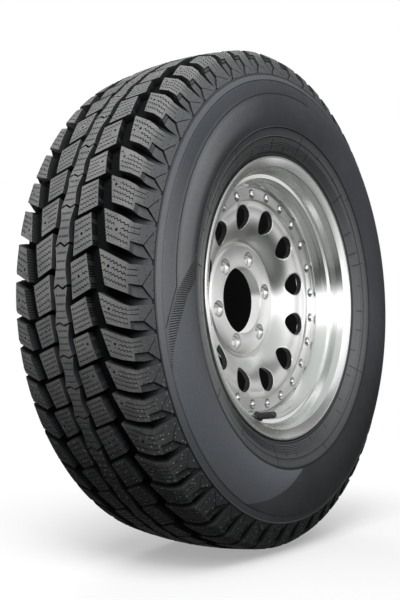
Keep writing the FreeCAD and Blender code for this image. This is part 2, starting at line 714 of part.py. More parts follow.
def make_core_pin(doc, s):
    """Pin of the valve core: foot under the seal, shank, collar for the spring and tip."""
    _, top, low = valve_levels(s)
    zero = top * 0
    seal_low = low - s["pin_clearance"] - s["seal_h"]
    foot = seal_low - s["pin_collar_h"]
    collar_top = top - s["core_guide"] - s["pin_clearance"]
    collar_low = collar_top - s["pin_collar_h"]
    corners = [
        (zero, foot),
        (s["pin_collar_r"], foot),
        (s["pin_collar_r"], seal_low),
        (s["pin_r"], seal_low),
        (s["pin_r"], collar_low),
        (s["pin_collar_r"], collar_low),
        (s["pin_collar_r"], collar_top),
        (s["pin_r"], collar_top),
        (s["pin_r"], top + s["pin_out"]),
        (zero, top + s["pin_out"]),
    ]
    return turned_body(doc, "valve_core_pin", corners)


def make_core_seal(doc, s):
    """Rubber seal of the valve core, held on the pin against the barrel's lower end."""
    _, _, low = valve_levels(s)
    bore = s["pin_r"] + s["core_clearance"]
    top = low - s["pin_clearance"]
    foot = top - s["seal_h"] + s["core_clearance"]
    corners = [(bore, foot), (s["seal_r"], foot), (s["seal_r"], top), (bore, top)]
    return turned_body(doc, "valve_core_seal", corners)


def make_core_spring(doc, s):
    """Spring of the valve core, a wire coiled round the pin under its collar."""
    _, top, low = valve_levels(s)
    wire = s["spring_wire"].value
    gap = s["core_clearance"].value
    inner = s["core_bore_r"].value - gap - s["core_wall"].value
    radius = (s["pin_r"].value + inner) / 2
    start = low.value + s["core_guide"].value + wire / 2 + gap
    collar_low = top.value - s["core_guide"].value - s["pin_clearance"].value - s["pin_collar_h"].value
    height = collar_low - wire / 2 - gap - start
    turns = s["spring_turns"].value
    path = Part.Wire(Part.makeHelix(height / turns, height, radius).Edges)
    half = wire / 2
    section = Part.makePolygon([
        Vector(radius - half, 0, -half),
        Vector(radius + half, 0, -half),
        Vector(radius + half, 0, half),
        Vector(radius - half, 0, half),
        Vector(radius - half, 0, -half),
    ])
    spring = doc.addObject("Part::Feature", "valve_core_spring")
    spring.Shape = path.makePipeShell([section], True, True)
    spring.Placement = Placement(Vector(0, start, 0), Rotation(Vector(1, 0, 0), -90))
    return spring


def make_cap_seal(doc, s):
    """Rubber disc inside the cap, pressed on the end of the tube."""
    tube_end, _, _ = valve_levels(s)
    zero = tube_end * 0
    low = tube_end + s["cap_seal_clearance"]
    corners = [
        (zero, low),
        (s["thread_r"], low),
        (s["thread_r"], low + s["cap_seal_h"]),
        (zero, low + s["cap_seal_h"]),
    ]
    return turned_body(doc, "valve_cap_seal", corners)


def make_cap(doc, s):
    """Screw cap over the threaded end."""
    tube_end, _, _ = valve_levels(s)
    zero = tube_end * 0
    bore_r = s["thread_r"] + s["cap_clearance"]
    foot = s["stem_h"] + s["cap_clearance"]
    ceiling = tube_end + s["cap_seal_h"] + s["cap_seal_clearance"] * 2
    end = ceiling + s["cap_top"]
    corners = [
        (bore_r, foot),
        (s["cap_r"], foot),
        (s["cap_r"], end - s["cap_edge"]),
        (s["cap_r"] - s["cap_edge"], end),
        (zero, end),
        (zero, ceiling),
        (bore_r, ceiling),
    ]
    return turned_body(doc, "valve_cap", corners)


def make_valve(doc, s):
    """All the pieces of the valve, set on its axis."""
    makers = (
        make_valve_stem,
        make_valve_tube,
        make_core_barrel,
        make_core_pin,
        make_core_seal,
        make_core_spring,
        make_cap_seal,
        make_cap,
    )
    pieces = [maker(doc, s) for maker in makers]
    for piece in pieces:
        piece.Placement = valve_placement(s) * piece.Placement
    return pieces


def check_document(doc, subparts):
    """Stop if anything in the document failed or a sub-part has no sound solid."""
    failed = [item.Name for item in doc.Objects if "Invalid" in item.State or "Error" in item.State]
    if failed:
        raise RuntimeError(f"failed objects: {failed}")
    for part in subparts:
        if part.Shape.isNull() or not part.Shape.isValid() or not part.Shape.Solids:
            raise RuntimeError(f"{part.Label} has no valid solid")


def main():
    """Build the document and write each sub-part to its own file."""
    doc = FreeCAD.newDocument("winter_tyre")
    sizes = make_sheet(doc)
    subparts = [make_tyre(doc, sizes), make_rim(doc, sizes), make_disc(doc, sizes), make_rivets(doc, sizes)]
    subparts += make_valve(doc, sizes)
    doc.recompute()
    for part in subparts:
        part.Label = part.Name
    check_document(doc, subparts)
    os.makedirs("parts", exist_ok=True)
    for part in subparts:
        part.Shape.exportStep(f"parts/{part.Label}.step")
        print(part.Label, len(part.Shape.Solids), "solids", round(part.Shape.Volume), "mm3")


main()
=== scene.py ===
# %% [markdown]
# # A winter tyre on its riveted wheel
#
# The CAD frame holds the true solids of a light-truck winter tyre on a polished aluminium wheel.
# This lesson dresses them: tread blocks with their sipes, the moulded side wall, the spun rim,
# the turned centre disc, the rivets and the valve. Sizes are in millimetres and are turned into
# metres when a mesh is made. The axle lies along Y, the outer face looks along -Y and Z is up.

# %% Load the frame
import math

import bmesh
import bpy
import numpy as np
from mathutils import Matrix, Vector
from mathutils.geometry import delaunay_2d_cdt


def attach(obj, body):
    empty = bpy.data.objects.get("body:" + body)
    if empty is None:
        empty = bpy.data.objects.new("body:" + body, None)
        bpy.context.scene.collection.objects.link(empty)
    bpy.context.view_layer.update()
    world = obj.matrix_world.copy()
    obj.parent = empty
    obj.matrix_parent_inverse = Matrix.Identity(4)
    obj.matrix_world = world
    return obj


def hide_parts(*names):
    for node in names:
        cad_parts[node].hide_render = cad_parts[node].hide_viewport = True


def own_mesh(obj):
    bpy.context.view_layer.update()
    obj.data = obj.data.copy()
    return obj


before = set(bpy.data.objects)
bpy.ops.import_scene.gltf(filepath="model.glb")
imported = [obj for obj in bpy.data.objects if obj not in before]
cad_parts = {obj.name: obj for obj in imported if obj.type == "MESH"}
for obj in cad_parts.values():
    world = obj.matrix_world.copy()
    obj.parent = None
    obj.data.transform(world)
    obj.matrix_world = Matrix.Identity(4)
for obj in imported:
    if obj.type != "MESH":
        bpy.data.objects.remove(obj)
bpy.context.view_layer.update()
MM = 0.001

# %% [markdown]
# ## Helpers for meshes
#
# Most pieces end as plain meshes with their place in their vertices, so one helper makes an
# object from millimetre points, and another turns a section round the axle. Corners sharper than
# a chosen angle stay crisp, and the rest is shaded smooth, as on moulded and spun pieces.

# %% Mesh helpers
scene = bpy.context.scene


def finish_shading(mesh, angle=30.0):
    """Smooth shading with crisp corners over the angle."""
    mesh.shade_smooth()
    mesh.set_sharp_from_angle(angle=math.radians(angle))


def add_mesh(name, points, faces, material=None, angle=30.0, linked=True):
    """Object from points in millimetres."""
    mesh = bpy.data.meshes.new(name)
    mesh.from_pydata((np.asarray(points, float) * MM).tolist(), [], [tuple(map(int, f)) for f in faces])
    mesh.validate()
    finish_shading(mesh, angle)
    if material:
        mesh.materials.append(material)
    made = bpy.data.objects.new(name, mesh)
    if linked:
        scene.collection.objects.link(made)
    return made


def turn_outwards(obj, angle=30.0):
    """Make all the faces of a closed mesh look outwards."""
    work = bmesh.new()
    work.from_mesh(obj.data)
    bmesh.ops.remove_doubles(work, verts=work.verts, dist=1e-6)
    bmesh.ops.recalc_face_normals(work, faces=work.faces)
    work.to_mesh(obj.data)
    work.free()
    finish_shading(obj.data, angle)


def ring_points(radius, along, steps):
    """Points of circles round the axle, one circle for each pair of radius and place along it."""
    turn = np.arange(steps) * 2 * math.pi / steps
    radius, along = np.asarray(radius, float)[:, None], np.asarray(along, float)[:, None]
    flat = np.zeros((len(radius), steps))
    return np.stack([radius * np.cos(turn), along + flat, radius * np.sin(turn)], axis=2).reshape(-1, 3)


def ring_faces(rows, steps, closed=True):
    """Quads from each circle of points to the next, and from the last to the first if closed."""
    faces = []
    for i in range(rows if closed else rows - 1):
        a, b = i * steps, (i + 1) % rows * steps
        for j in range(steps):
            k = (j + 1) % steps
            faces.append((a + j, a + k, b + k, b + j))
    return faces


def lathe(name, section, steps, material, angle=30.0):
    """Closed section of (radius, place along the axle) turned round the axle."""
    points = ring_points(*np.transpose(section), steps)
    made = add_mesh(name, points, ring_faces(len(section), steps), material, angle)
    turn_outwards(made, angle)
    return made


def smooth_line(corners, parts):
    """Curve through the corners, each stretch divided into equal parts."""
    corners = np.asarray(corners, float)
    before = np.vstack([2 * corners[0] - corners[1], corners, 2 * corners[-1] - corners[-2]])
    step = (np.arange(parts) / parts)[:, None]
    line = []
    for a, b, c, d in zip(before, before[1:], before[2:], before[3:]):
        pull_b, pull_c = (c - a) / 2, (d - b) / 2
        line.append(
            b * (2 * step**3 - 3 * step**2 + 1)
            + pull_b * (step**3 - 2 * step**2 + step)
            + c * (3 * step**2 - 2 * step**3)
            + pull_c * (step**3 - step**2)
        )
    return np.vstack(line + [corners[-1:]])


def rounded(corners, radius, parts=4):
    """Closed outline whose corners are rounded, or less where a side is short."""
    corners = [np.asarray(c, float) for c in corners]
    line = []
    for i, here in enumerate(corners):
        back, ahead = corners[i - 1] - here, corners[(i + 1) % len(corners)] - here
        cut = min(radius, np.linalg.norm(back) * 0.4, np.linalg.norm(ahead) * 0.4)
        start = here + back / np.linalg.norm(back) * cut
        end = here + ahead / np.linalg.norm(ahead) * cut
        for t in np.linspace(0, 1, parts + 1):
            line.append((1 - t) ** 2 * start + 2 * t * (1 - t) * here + t**2 * end)
    return np.array(line)


print("helpers ready")

# %% [markdown]
# ## Helpers for node trees
#
# Materials and Geometry Nodes are both trees of nodes. One helper adds a node, sets its sockets
# and joins what comes from other nodes, so that a tree reads like a list of steps.

# %% Node helpers
def node(tree, kind, sockets=None, **settings):
    """Add a node. A socket's value is a number, a colour or another node's output."""
    made = tree.nodes.new(kind)
    for key, value in settings.items():
        setattr(made, key, value)
    for key, value in (sockets or {}).items():
        if isinstance(value, bpy.types.NodeSocket):
            tree.links.new(value, made.inputs[key])
        else:
            made.inputs[key].default_value = value
    return made


def calc(tree, operation, first, second=None, third=None):
    """Output of a math node."""
    values = {i: v for i, v in enumerate((first, second, third)) if v is not None}
    return node(tree, "ShaderNodeMath", values, operation=operation).outputs[0]


def ramp(tree, value, stops):
    """Output of a colour ramp with stops of (place, grey or colour)."""
    made = node(tree, "ShaderNodeValToRGB", {"Fac": value})
    line = made.color_ramp.elements
    while len(line) < len(stops):
        line.new(0.5)
    for stop, (place, colour) in zip(line, stops):
        stop.position = place
        stop.color = (colour, colour, colour, 1) if isinstance(colour, float) else (*colour, 1)
    return made.outputs["Color"]


def blend_colours(tree, share, first, second, how="MIX"):
    """Output of a colour mix; share, first and second are values or sockets."""
    made = node(tree, "ShaderNodeMix", data_type="RGBA", blend_type=how)
    for socket, value in ((0, share), (6, first), (7, second)):
        if isinstance(value, bpy.types.NodeSocket):
            tree.links.new(value, made.inputs[socket])
        else:
            made.inputs[socket].default_value = value if socket == 0 else (*value, 1)
    return made.outputs[2]


def new_material(name):
    """Empty node material with its shader, and the tree they are in."""
    made = bpy.data.materials.new(name)
    made.use_nodes = True
    tree = made.node_tree
    tree.nodes.clear()
    shader = node(tree, "ShaderNodeBsdfPrincipled")
    node(tree, "ShaderNodeOutputMaterial", {"Surface": shader.outputs[0]})
    return made, tree, shader


def place_of(tree):
    """Object coordinates in millimetres."""
    at = node(tree, "ShaderNodeTexCoord").outputs["Object"]
    return node(tree, "ShaderNodeVectorMath", {0: at, 3: 1 / MM}, operation="SCALE").outputs[0]


def distance(tree, first, second):
    """Straight distance from two lengths that are square to each other."""
    squares = [calc(tree, "MULTIPLY", length, length) for length in (first, second)]
    return calc(tree, "SQRT", calc(tree, "ADD", *squares))


def polar(tree):
    """Radius in millimetres and angle in degrees round the axle, from 0 to 360, and the place along it."""
    parts = node(tree, "ShaderNodeSeparateXYZ", {0: place_of(tree)})
    x, y, z = parts.outputs
    turn = calc(tree, "MULTIPLY", calc(tree, "ARCTAN2", z, x), 180 / math.pi)
    return distance(tree, x, z), calc(tree, "MODULO", calc(tree, "ADD", turn, 360.0), 360.0), y


def noise(tree, place, size, detail=3.0, rough=0.5):
    """Noise value whose grains are about this many millimetres."""
    sockets = {"Vector": place, "Scale": 1 / size, "Detail": detail, "Roughness": rough}
    return node(tree, "ShaderNodeTexNoise", sockets).outputs["Fac"]


def spread(tree, value, low, high):
    """From 0 at the low value to 1 at the high one, and no further."""
    return node(tree, "ShaderNodeMapRange", {0: value, 1: low, 2: high}, clamp=True).outputs[0]


def bump(tree, height, strength, depth):
    """Normal from a height, where a height of 1 stands for the depth in millimetres."""
    return node(
        tree, "ShaderNodeBump", {"Height": height, "Strength": strength, "Distance": depth * MM}
    ).outputs[0]


print("node helpers ready")

# %% [markdown]
# ## Rubber
#
# The tyre has one rubber, but it looks different from place to place. The faces of the tread
# blocks are dusty and light, their walls and the sipes are dark, and the side wall is smooth
# and a little blue. Each face of a block carries a value, dust, that tells how dusty it is, and
# the tread tree stores how deep a point lies under the block face, so that painted shade turns
# the grooves black. The lower part of the tread is darkened with painted shade, and pale specks
# on its faces there are painted glints.

# %% Tread rubber
SHOULDER_TONE_R, CROWN_TONE_R = 358.0, 374.0
GROOVE_SHADE_DEPTH = -11.0
# Angles in degrees where the painted shade of the lower tread starts, is full, begins to fade and ends.
LOWER_SHADE_TURNS = (188.0, 220.0, 300.0, 336.0)
LOWER_SHADE_SHARE = 0.72
CROWN_MM_PER_DEGREE = 6.7
# Pale specks painted as glints on the lower tread: their spacing and radius in millimetres, and softness.
GLINT_SPACING = 11.0
GLINT_RADIUS = 0.8
GLINT_SOFT = 0.3


def tread_rubber():
    """Dusty block faces over walls darkened by painted shade, with painted shade and glints on the lower
    tread.
    """
    made, tree, shader = new_material("tread_rubber")
    at = place_of(tree)
    dust = node(tree, "ShaderNodeAttribute", attribute_name="dust").outputs["Fac"]
    lift = node(tree, "ShaderNodeAttribute", attribute_name="lift").outputs["Fac"]
    patches = ramp(tree, noise(tree, at, 42.0, 4.0), [(0.3, 0.0), (0.72, 1.0)])
    face_wear_and_shade = blend_colours(tree, patches, (0.142, 0.145, 0.147), (0.222, 0.222, 0.218))
    fine = ramp(tree, noise(tree, at, 1.5, 3.0, 0.7), [(0.25, 0.72), (0.75, 1.16)])
    radius, turn, along = polar(tree)
    on_crown = spread(tree, radius, SHOULDER_TONE_R, CROWN_TONE_R)
    face_wear_and_shade = blend_colours(tree, on_crown, (0.108, 0.114, 0.118), face_wear_and_shade)
    face_wear_and_shade = blend_colours(tree, 1.0, face_wear_and_shade, fine, "MULTIPLY")
    stops = [(angle / 360, share) for angle, share in zip(LOWER_SHADE_TURNS, (0.0, 1.0, 1.0, 0.0))]
    lower_shade = ramp(tree, calc(tree, "DIVIDE", turn, 360.0), stops)
    # The lower part of the tread is darkened, as painted shade.
    face_wear_and_shade = blend_colours(tree, calc(tree, "MULTIPLY", lower_shade, LOWER_SHADE_SHARE), face_wear_and_shade, (0.05, 0.052, 0.054))
    round_way = calc(tree, "MULTIPLY", turn, CROWN_MM_PER_DEGREE)
    over_way = calc(tree, "SUBTRACT", calc(tree, "ABSOLUTE", along), radius)
    flat = node(tree, "ShaderNodeCombineXYZ", {0: round_way, 1: over_way}).outputs[0]
    cells = {"Vector": flat, "Scale": 1 / GLINT_SPACING}
    away = node(tree, "ShaderNodeTexVoronoi", cells, voronoi_dimensions="2D").outputs["Distance"]
    edge = GLINT_RADIUS / GLINT_SPACING
    glint = spread(tree, away, edge * (1 + GLINT_SOFT), edge * (1 - GLINT_SOFT))
    # Pale specks on the shaded lower tread are painted glints.
    face_wear_and_shade = blend_colours(tree, calc(tree, "MULTIPLY", glint, lower_shade), face_wear_and_shade, (0.64, 0.63, 0.61))
    # Walls and the floors of cuts turn black with depth, as painted shade in the grooves.
    deep = spread(tree, lift, GROOVE_SHADE_DEPTH, 0.0)
    wall = blend_colours(tree, deep, (0.008, 0.0085, 0.009), (0.04, 0.0425, 0.045))
    tree.links.new(blend_colours(tree, dust, wall, face_wear_and_shade), shader.inputs["Base Color"])
    rough = ramp(tree, noise(tree, at, 5.0), [(0.2, 0.62), (0.8, 0.82)])
    tree.links.new(rough, shader.inputs["Roughness"])
    tree.links.new(bump(tree, noise(tree, at, 0.9, 2.0), 0.35, 0.25), shader.inputs["Normal"])
    shader.inputs["Specular IOR Level"].default_value = 0.14
    return made


TREAD_RUBBER = tread_rubber()
print(TREAD_RUBBER.name)

# %% [markdown]
# ## Side wall rubber
#
# The outer side wall is cut into fields: a light ring under the shoulder lugs, a darker band below
# it that ends in a slant, a crescent of fine ribs, and a smooth blue-grey panel that sweeps round
# the bottom, its pale tone partly painted sheen. Painted light is added as well: painted highlights
# on the left of the side wall and on the bead at the left, painted shade in a field at the lower
# right and at the foot of the moulded lines. The rubber by the rim is paler, and the bead is darker
# towards the bottom. Each field is a shape in polar coordinates, radius and angle round the axle,
# so the material works them out there. Towards the grooves the same rubber turns black, as painted
# shade, and dull, as a second material with less gloss.

# %% Side rubber
CRESCENT_OUTER = [(171.0, 262.0), (182.0, 305.0), (190.0, 325.0), (200.0, 330.0)]
CRESCENT_INNER = [
    (179.0, 262.0), (179.5, 265.0), (183.0, 285.0), (190.0, 307.0), (195.0, 322.0), (200.0, 330.0),
]
BAND_START = 84.0
BAND_END = [(180.5, 309.0), (190.5, 330.0)]
PANEL_END = [(273.0, 262.0), (267.0, 276.0), (255.0, 304.0), (243.0, 331.0)]
# Radii of fields that end in drawn edges: low, high and softness.
PANEL_RADII = (263.0, 330.0, 1.2)
CRESCENT_RADII = (263.0, 329.5, 1.0)
DARK_BAND_RADII = (310.0, 330.0, 1.2)
UPPER_RING_RADII = (331.5, 339.5, 1.5)
# Fields as radii, low, high and softness, and then angles, low, high and softness.
# A painted highlight on the left of the side wall.
PAINTED_HIGHLIGHT_BAND = ((276.0, 309.0, 12.0), (128.0, 196.0, 36.0))
# A painted highlight on the outer ring at the left.
LEFT_RING_HIGHLIGHT = ((309.0, 340.0, 4.0), (165.0, 203.0, 30.0))
# Painted shade at the lower right of the side wall.
LOWER_RIGHT_SHADE = ((250.0, 338.0, 6.0), (262.0, 342.0, 26.0))
# A painted highlight on the bead at the left.
LEFT_BEAD_HIGHLIGHT = ((228.0, 259.0, 6.0), (150.0, 215.0, 40.0))
# Angles where the bead is darker towards the bottom.
BEAD_DARKER_TURNS = (225.0, 315.0, 50.0)
# Places where something begins, and over how many millimetres it does.
OUTSIDE_FROM, OUTSIDE_SOFT = 60.0, 8.0
BEAD_TOP_R, BEAD_SOFT = 257.0, 8.0
DULL_FROM_R, DULL_SOFT = 350.0, 14.0
GROOVE_SHADE_FROM_R, GROOVE_SHADE_SOFT = 355.0, 22.0
# Painted shade at the foot of moulded lines: radius, half width and how dark it is.
MOULDED_LINE_SHADES = [
    (341.6, 0.9, 0.9), (330.4, 0.6, 0.5), (260.0, 0.9, 0.8), (247.0, 0.7, 0.7), (225.0, 1.2, 0.8),
]


def step_up(tree, value, edge, soft):
    """From 0 to 1 as the value passes the edge, over a soft width."""
    return spread(tree, calc(tree, "SUBTRACT", value, edge), -soft / 2, soft / 2)


def between(tree, value, low, high, soft):
    """1 between two edges and 0 outside them."""
    return calc(tree, "SUBTRACT", step_up(tree, value, low, soft), step_up(tree, value, high, soft))


def both(tree, *masks):
    """1 where every mask is 1."""
    product = masks[0]
    for mask in masks[1:]:
        product = calc(tree, "MULTIPLY", product, mask)
    return product


def edge_turn(tree, radius, corners):
    """Angle of an edge at a radius; the edge is straight between its corners of (angle, radius)."""
    (first_turn, first_r), (last_turn, last_r) = corners[0], corners[-1]
    high, wide = last_r - first_r, last_turn - first_turn
    stops = [((r - first_r) / high, (angle - first_turn) / wide) for angle, r in corners]
    share = spread(tree, radius, first_r, last_r)
    return calc(tree, "MULTIPLY_ADD", ramp(tree, share, stops), wide, first_turn)


def side_rubber(name, gloss):
    """Rubber of the casing: its fields, with painted light and shade, and black painted shade towards the
    tread's floor.
    """
    made, tree, shader = new_material(name)
    at = place_of(tree)
    radius, turn, along = polar(tree)
    outside = step_up(tree, calc(tree, "MULTIPLY", along, -1.0), OUTSIDE_FROM, OUTSIDE_SOFT)
    inner_edge = edge_turn(tree, radius, CRESCENT_INNER)
    panel = both(
        tree,
        outside,
        between(tree, radius, *PANEL_RADII),
        between(tree, turn, inner_edge, edge_turn(tree, radius, PANEL_END), 0.5),
    )
    crescent = both(
        tree,
        outside,
        between(tree, radius, *CRESCENT_RADII),
        between(tree, turn, edge_turn(tree, radius, CRESCENT_OUTER), inner_edge, 0.4),
    )
    before_slant = between(tree, turn, BAND_START, edge_turn(tree, radius, BAND_END), 1.0)
    dark_band = both(tree, outside, between(tree, radius, *DARK_BAND_RADII), before_slant)
    upper_ring = both(tree, outside, between(tree, radius, *UPPER_RING_RADII))
    painted_highlight_band, left_ring_highlight, lower_right_shade, left_bead_highlight = [
        both(tree, outside, between(tree, radius, *radii), between(tree, turn, *turns))
        for radii, turns in (PAINTED_HIGHLIGHT_BAND, LEFT_RING_HIGHLIGHT, LOWER_RIGHT_SHADE, LEFT_BEAD_HIGHLIGHT)
    ]
    bead = step_up(tree, calc(tree, "MULTIPLY", radius, -1.0), -BEAD_TOP_R, BEAD_SOFT)
    bead_darker_below = both(tree, bead, between(tree, turn, *BEAD_DARKER_TURNS))
    clouds = ramp(tree, noise(tree, at, 70.0, 5.0), [(0.3, 0.0), (0.7, 1.0)])
    base = blend_colours(tree, clouds, (0.066, 0.0705, 0.0785), (0.086, 0.0915, 0.1015))
    for mask, share, colour in (
        (dark_band, 0.6, (0.06, 0.065, 0.073)),
        # painted highlight on the left of the side wall
        (painted_highlight_band, 0.85, (0.29, 0.297, 0.31)),
        (upper_ring, 0.75, (0.13, 0.138, 0.149)),
        # painted highlight on the outer ring at the left
        (left_ring_highlight, 0.6, (0.23, 0.238, 0.25)),
        # painted shade at the lower right
        (lower_right_shade, 0.68, (0.02, 0.0212, 0.0235)),
        # the panel's pale tone is partly its own, partly painted sheen
        (panel, 0.85, (0.165, 0.178, 0.198)),
        (crescent, 0.9, (0.05, 0.053, 0.058)),
        (bead, 0.85, (0.175, 0.179, 0.184)),
        # the bead darker towards the bottom
        (bead_darker_below, 0.8, (0.07, 0.073, 0.077)),
        # painted highlight on the bead at the left
        (left_bead_highlight, 0.9, (0.34, 0.342, 0.342)),
    ):
        base = blend_colours(tree, calc(tree, "MULTIPLY", mask, share), base, colour)
    # Moulded lines get painted shade at their foot.
    for middle, half, share in MOULDED_LINE_SHADES:
        line = between(tree, radius, middle - half, middle + half, 0.5)
        base = blend_colours(tree, calc(tree, "MULTIPLY", line, share), base, (0.012, 0.0125, 0.0135))
    # Towards the floor of the tread the colour turns black, as painted shade in the grooves.
    black = step_up(tree, radius, GROOVE_SHADE_FROM_R, GROOVE_SHADE_SOFT)
    base = blend_colours(tree, black, base, (0.007, 0.0075, 0.008))
    fine = ramp(tree, noise(tree, at, 2.4, 3.0, 0.7), [(0.3, 0.88), (0.7, 1.08)])
    tree.links.new(blend_colours(tree, 1.0, base, fine, "MULTIPLY"), shader.inputs["Base Color"])
    rough = blend_colours(tree, panel, (0.56, 0.56, 0.56), (0.38, 0.38, 0.38))
    smear = ramp(tree, noise(tree, at, 16.0, 4.0), [(0.3, 0.9), (0.75, 1.15)])
    rough = blend_colours(tree, 1.0, rough, smear, "MULTIPLY")
    deep = step_up(tree, radius, DULL_FROM_R, DULL_SOFT)
    tree.links.new(blend_colours(tree, deep, rough, (0.95, 0.95, 0.95)), shader.inputs["Roughness"])
    shader.inputs["Specular IOR Level"].default_value = gloss
    tree.links.new(bump(tree, noise(tree, at, 1.4, 2.0), 0.25, 0.2), shader.inputs["Normal"])
    return made


def plain_rubber(name, dark, light):
    """Rubber of one tone with small changes, for thin lines and ribs."""
    made, tree, shader = new_material(name)
    spots = noise(tree, place_of(tree), 6.0)
    tree.links.new(blend_colours(tree, spots, dark, light), shader.inputs["Base Color"])
    tree.links.new(ramp(tree, spots, [(0.3, 0.5), (0.7, 0.66)]), shader.inputs["Roughness"])
    return made


SIDE_RUBBER = side_rubber("side_rubber", 0.24)
GROOVE_RUBBER = side_rubber("groove_rubber", 0.04)
RIB_RUBBER = plain_rubber("rib_rubber", (0.16, 0.166, 0.175), (0.22, 0.226, 0.236))
SEAM_RUBBER = plain_rubber("seam_rubber", (0.011, 0.0115, 0.0125), (0.02, 0.021, 0.0225))
print(SIDE_RUBBER.name, GROOVE_RUBBER.name, RIB_RUBBER.name, SEAM_RUBBER.name)

# %% [markdown]
# ## The tyre's outline
#
# Everything on the outside of the tyre follows one section: a slightly round crown, a crisp
# shoulder, then the side wall down to the rim. The section is kept twice. As numbers it tells
# how far along the rubber a given radius lies, and as a curve object it lets Geometry Nodes lay
# flat pieces on the tyre.

# %% Section of the tyre
TYRE_R = 387.0
CROWN_DROP = 7.0
CROWN_HALF = 88.0
GROOVE_DEPTH = 13.0
LUG_END_R = 342.0
LUG_END_ACROSS = 113.6


def crown_radius(across):
    """Radius of the crown at a distance from the middle."""
    return TYRE_R - CROWN_DROP * (across / CROWN_HALF) ** 2


crown = [(a, crown_radius(a)) for a in np.linspace(0, CROWN_HALF, 12)]
shoulder = [
    (94.0, 376.2), (97.0, 374.2), (98.7, 372.2), (100.2, 369.2), (104.2, 361.6), (108.2, 354.0),
    (LUG_END_ACROSS, LUG_END_R),
]
side_corners = [
    (LUG_END_ACROSS, LUG_END_R), (118.4, 330.0), (122.1, 316.0), (123.5, 303.0), (123.6, 292.0),
    (122.4, 279.0), (119.4, 264.0), (114.6, 250.0), (109.4, 238.0), (103.4, 226.0),
]
side_line = smooth_line(side_corners, 6)
outer_section = np.array(crown + shoulder + side_line[1:].tolist())
run = np.concatenate([[0], np.cumsum(np.linalg.norm(np.diff(outer_section, axis=0), axis=1))])


def run_at_across(across):
    """Length along the section from the middle of the crown to a distance from the middle."""
    ahead = outer_section[: len(crown) + len(shoulder)]
    return float(np.interp(across, ahead[:, 0], run[: len(ahead)]))


def run_at_radius(radius):
    """Length along the section to a radius on the shoulder or the side wall."""
    below = slice(len(crown) - 1, None)
    return float(np.interp(-radius, -outer_section[below, 1], run[below]))


def across_at_radius(radius):
    """Distance from the middle of the side wall's surface at a radius."""
    return np.interp(-np.asarray(radius, float), -side_line[:, 1], side_line[:, 0])


section_data = bpy.data.curves.new("tyre_section", "CURVE")
section_spline = section_data.splines.new("POLY")
section_spline.points.add(len(outer_section) - 1)
for point, (across, radius) in zip(section_spline.points, outer_section):
    point.co = (across * MM, radius * MM, 0, 1)
tyre_section = bpy.data.objects.new("tyre_section", section_data)
print("section", len(outer_section), "points,", round(run[-1], 1), "mm long")

# %% [markdown]
# ## One pitch of the tread, laid flat
#
# A tread repeats in pitches. One pitch is drawn flat: X counts pitches, Y is the length across
# the rubber and Z is the height over the block faces. Block faces are at 0, and sipes, stud holes
# and notches are cuts with a depth of their own. A Delaunay triangulation keeps every outline,
# and each triangle is then a face, the floor of a cut, or nothing. Where two heights meet, a wall
# joins them. So the sipes are real slits, and not a drawing on the rubber.

# %% Flat blocks with cuts
PITCH_COUNT = 52
PITCH_MM = 2 * math.pi * TYRE_R / PITCH_COUNT
ROOT = 16.0


def inside(points, outline):
    """Which points lie inside a closed outline."""
    x, y = points[:, 0], points[:, 1]
    found = np.zeros(len(points), bool)
    for (ax, ay), (bx, by) in zip(outline, np.roll(outline, -1, axis=0)):
        crosses = (ay > y) != (by > y)
        with np.errstate(divide="ignore", invalid="ignore"):
            found ^= crosses & (x < (bx - ax) * (y - ay) / (by - ay) + ax)
    return found


def triangulated(loops, lines=()):
    """Points and triangles that keep every closed loop and open line."""
    points, edges = [], []
    for loop in loops:
        first = len(points)
        points += [Vector(p) for p in loop]
        edges += [(first + i, first + (i + 1) % len(loop)) for i in range(len(loop))]
    for line in lines:
        first = len(points)
        points += [Vector(p) for p in line]
        edges += [(first + i, first + i + 1) for i in range(len(line) - 1)]
    flat, _, faces, _, _, _ = delaunay_2d_cdt(points, edges, [], 0, 1e-4)
    return np.array([tuple(p) for p in flat]), np.array(faces)


def carved(outline, cuts, bends=()):
    """Flat block in millimetres: its face at 0, cuts of (outline, depth, dust) and walls down to its root.

    Gives its points, its faces and how dusty each face is.
    """
    flat, triangles = triangulated([outline] + [cut[0] for cut in cuts], bends)
    middle = flat[triangles].mean(axis=1)
    block = inside(middle, np.asarray(outline))
    height = np.where(block, 0.0, -ROOT)
    dusty = np.where(block, 1.0, 0.0)
    for cut, depth, dust in cuts:
        lower = inside(middle, np.asarray(cut)) & (height > -ROOT) & (height > -depth)
        height = np.where(lower, -depth, height)
        dusty = np.where(lower, dust, dusty)
    found, points, faces, dusts, sides = {}, [], [], [], {}

    def corner(index, level):
        key = (int(index), float(level))
        if key not in found:
            found[key] = len(points)
            points.append((flat[index][0], flat[index][1], level))
        return found[key]

    for (a, b, c), level, dust in zip(triangles, height, dusty):
        for edge in ((a, b), (b, c), (c, a)):
            sides[edge] = level
        if level > -ROOT:
            faces.append([corner(i, level) for i in (a, b, c)])
            dusts.append(float(dust))
    for (a, b), level in sides.items():
        beyond = sides.get((b, a), -ROOT)
        if level > beyond:
            faces.append([corner(a, level), corner(a, beyond), corner(b, beyond), corner(b, level)])
            dusts.append(0.0)
    return points, faces, dusts


def zigzag(start, end, teeth, swing, width):
    """Slit between two places, swinging to both sides of the straight line."""
    start, end = np.asarray(start, float), np.asarray(end, float)
    ahead = (end - start) / np.linalg.norm(end - start)
    aside = np.array([-ahead[1], ahead[0]])
    share = np.linspace(0, 1, 2 * teeth + 1)
    swings = np.where(np.arange(2 * teeth + 1) % 2 == 0, -swing, swing)
    middle = start + share[:, None] * (end - start) + swings[:, None] * aside
    return np.vstack([middle + aside * width / 2, (middle - aside * width / 2)[::-1]])


def straight_slit(start, end, width):
    """Straight slit between two places."""
    return zigzag(start, end, 1, 0.0, width)


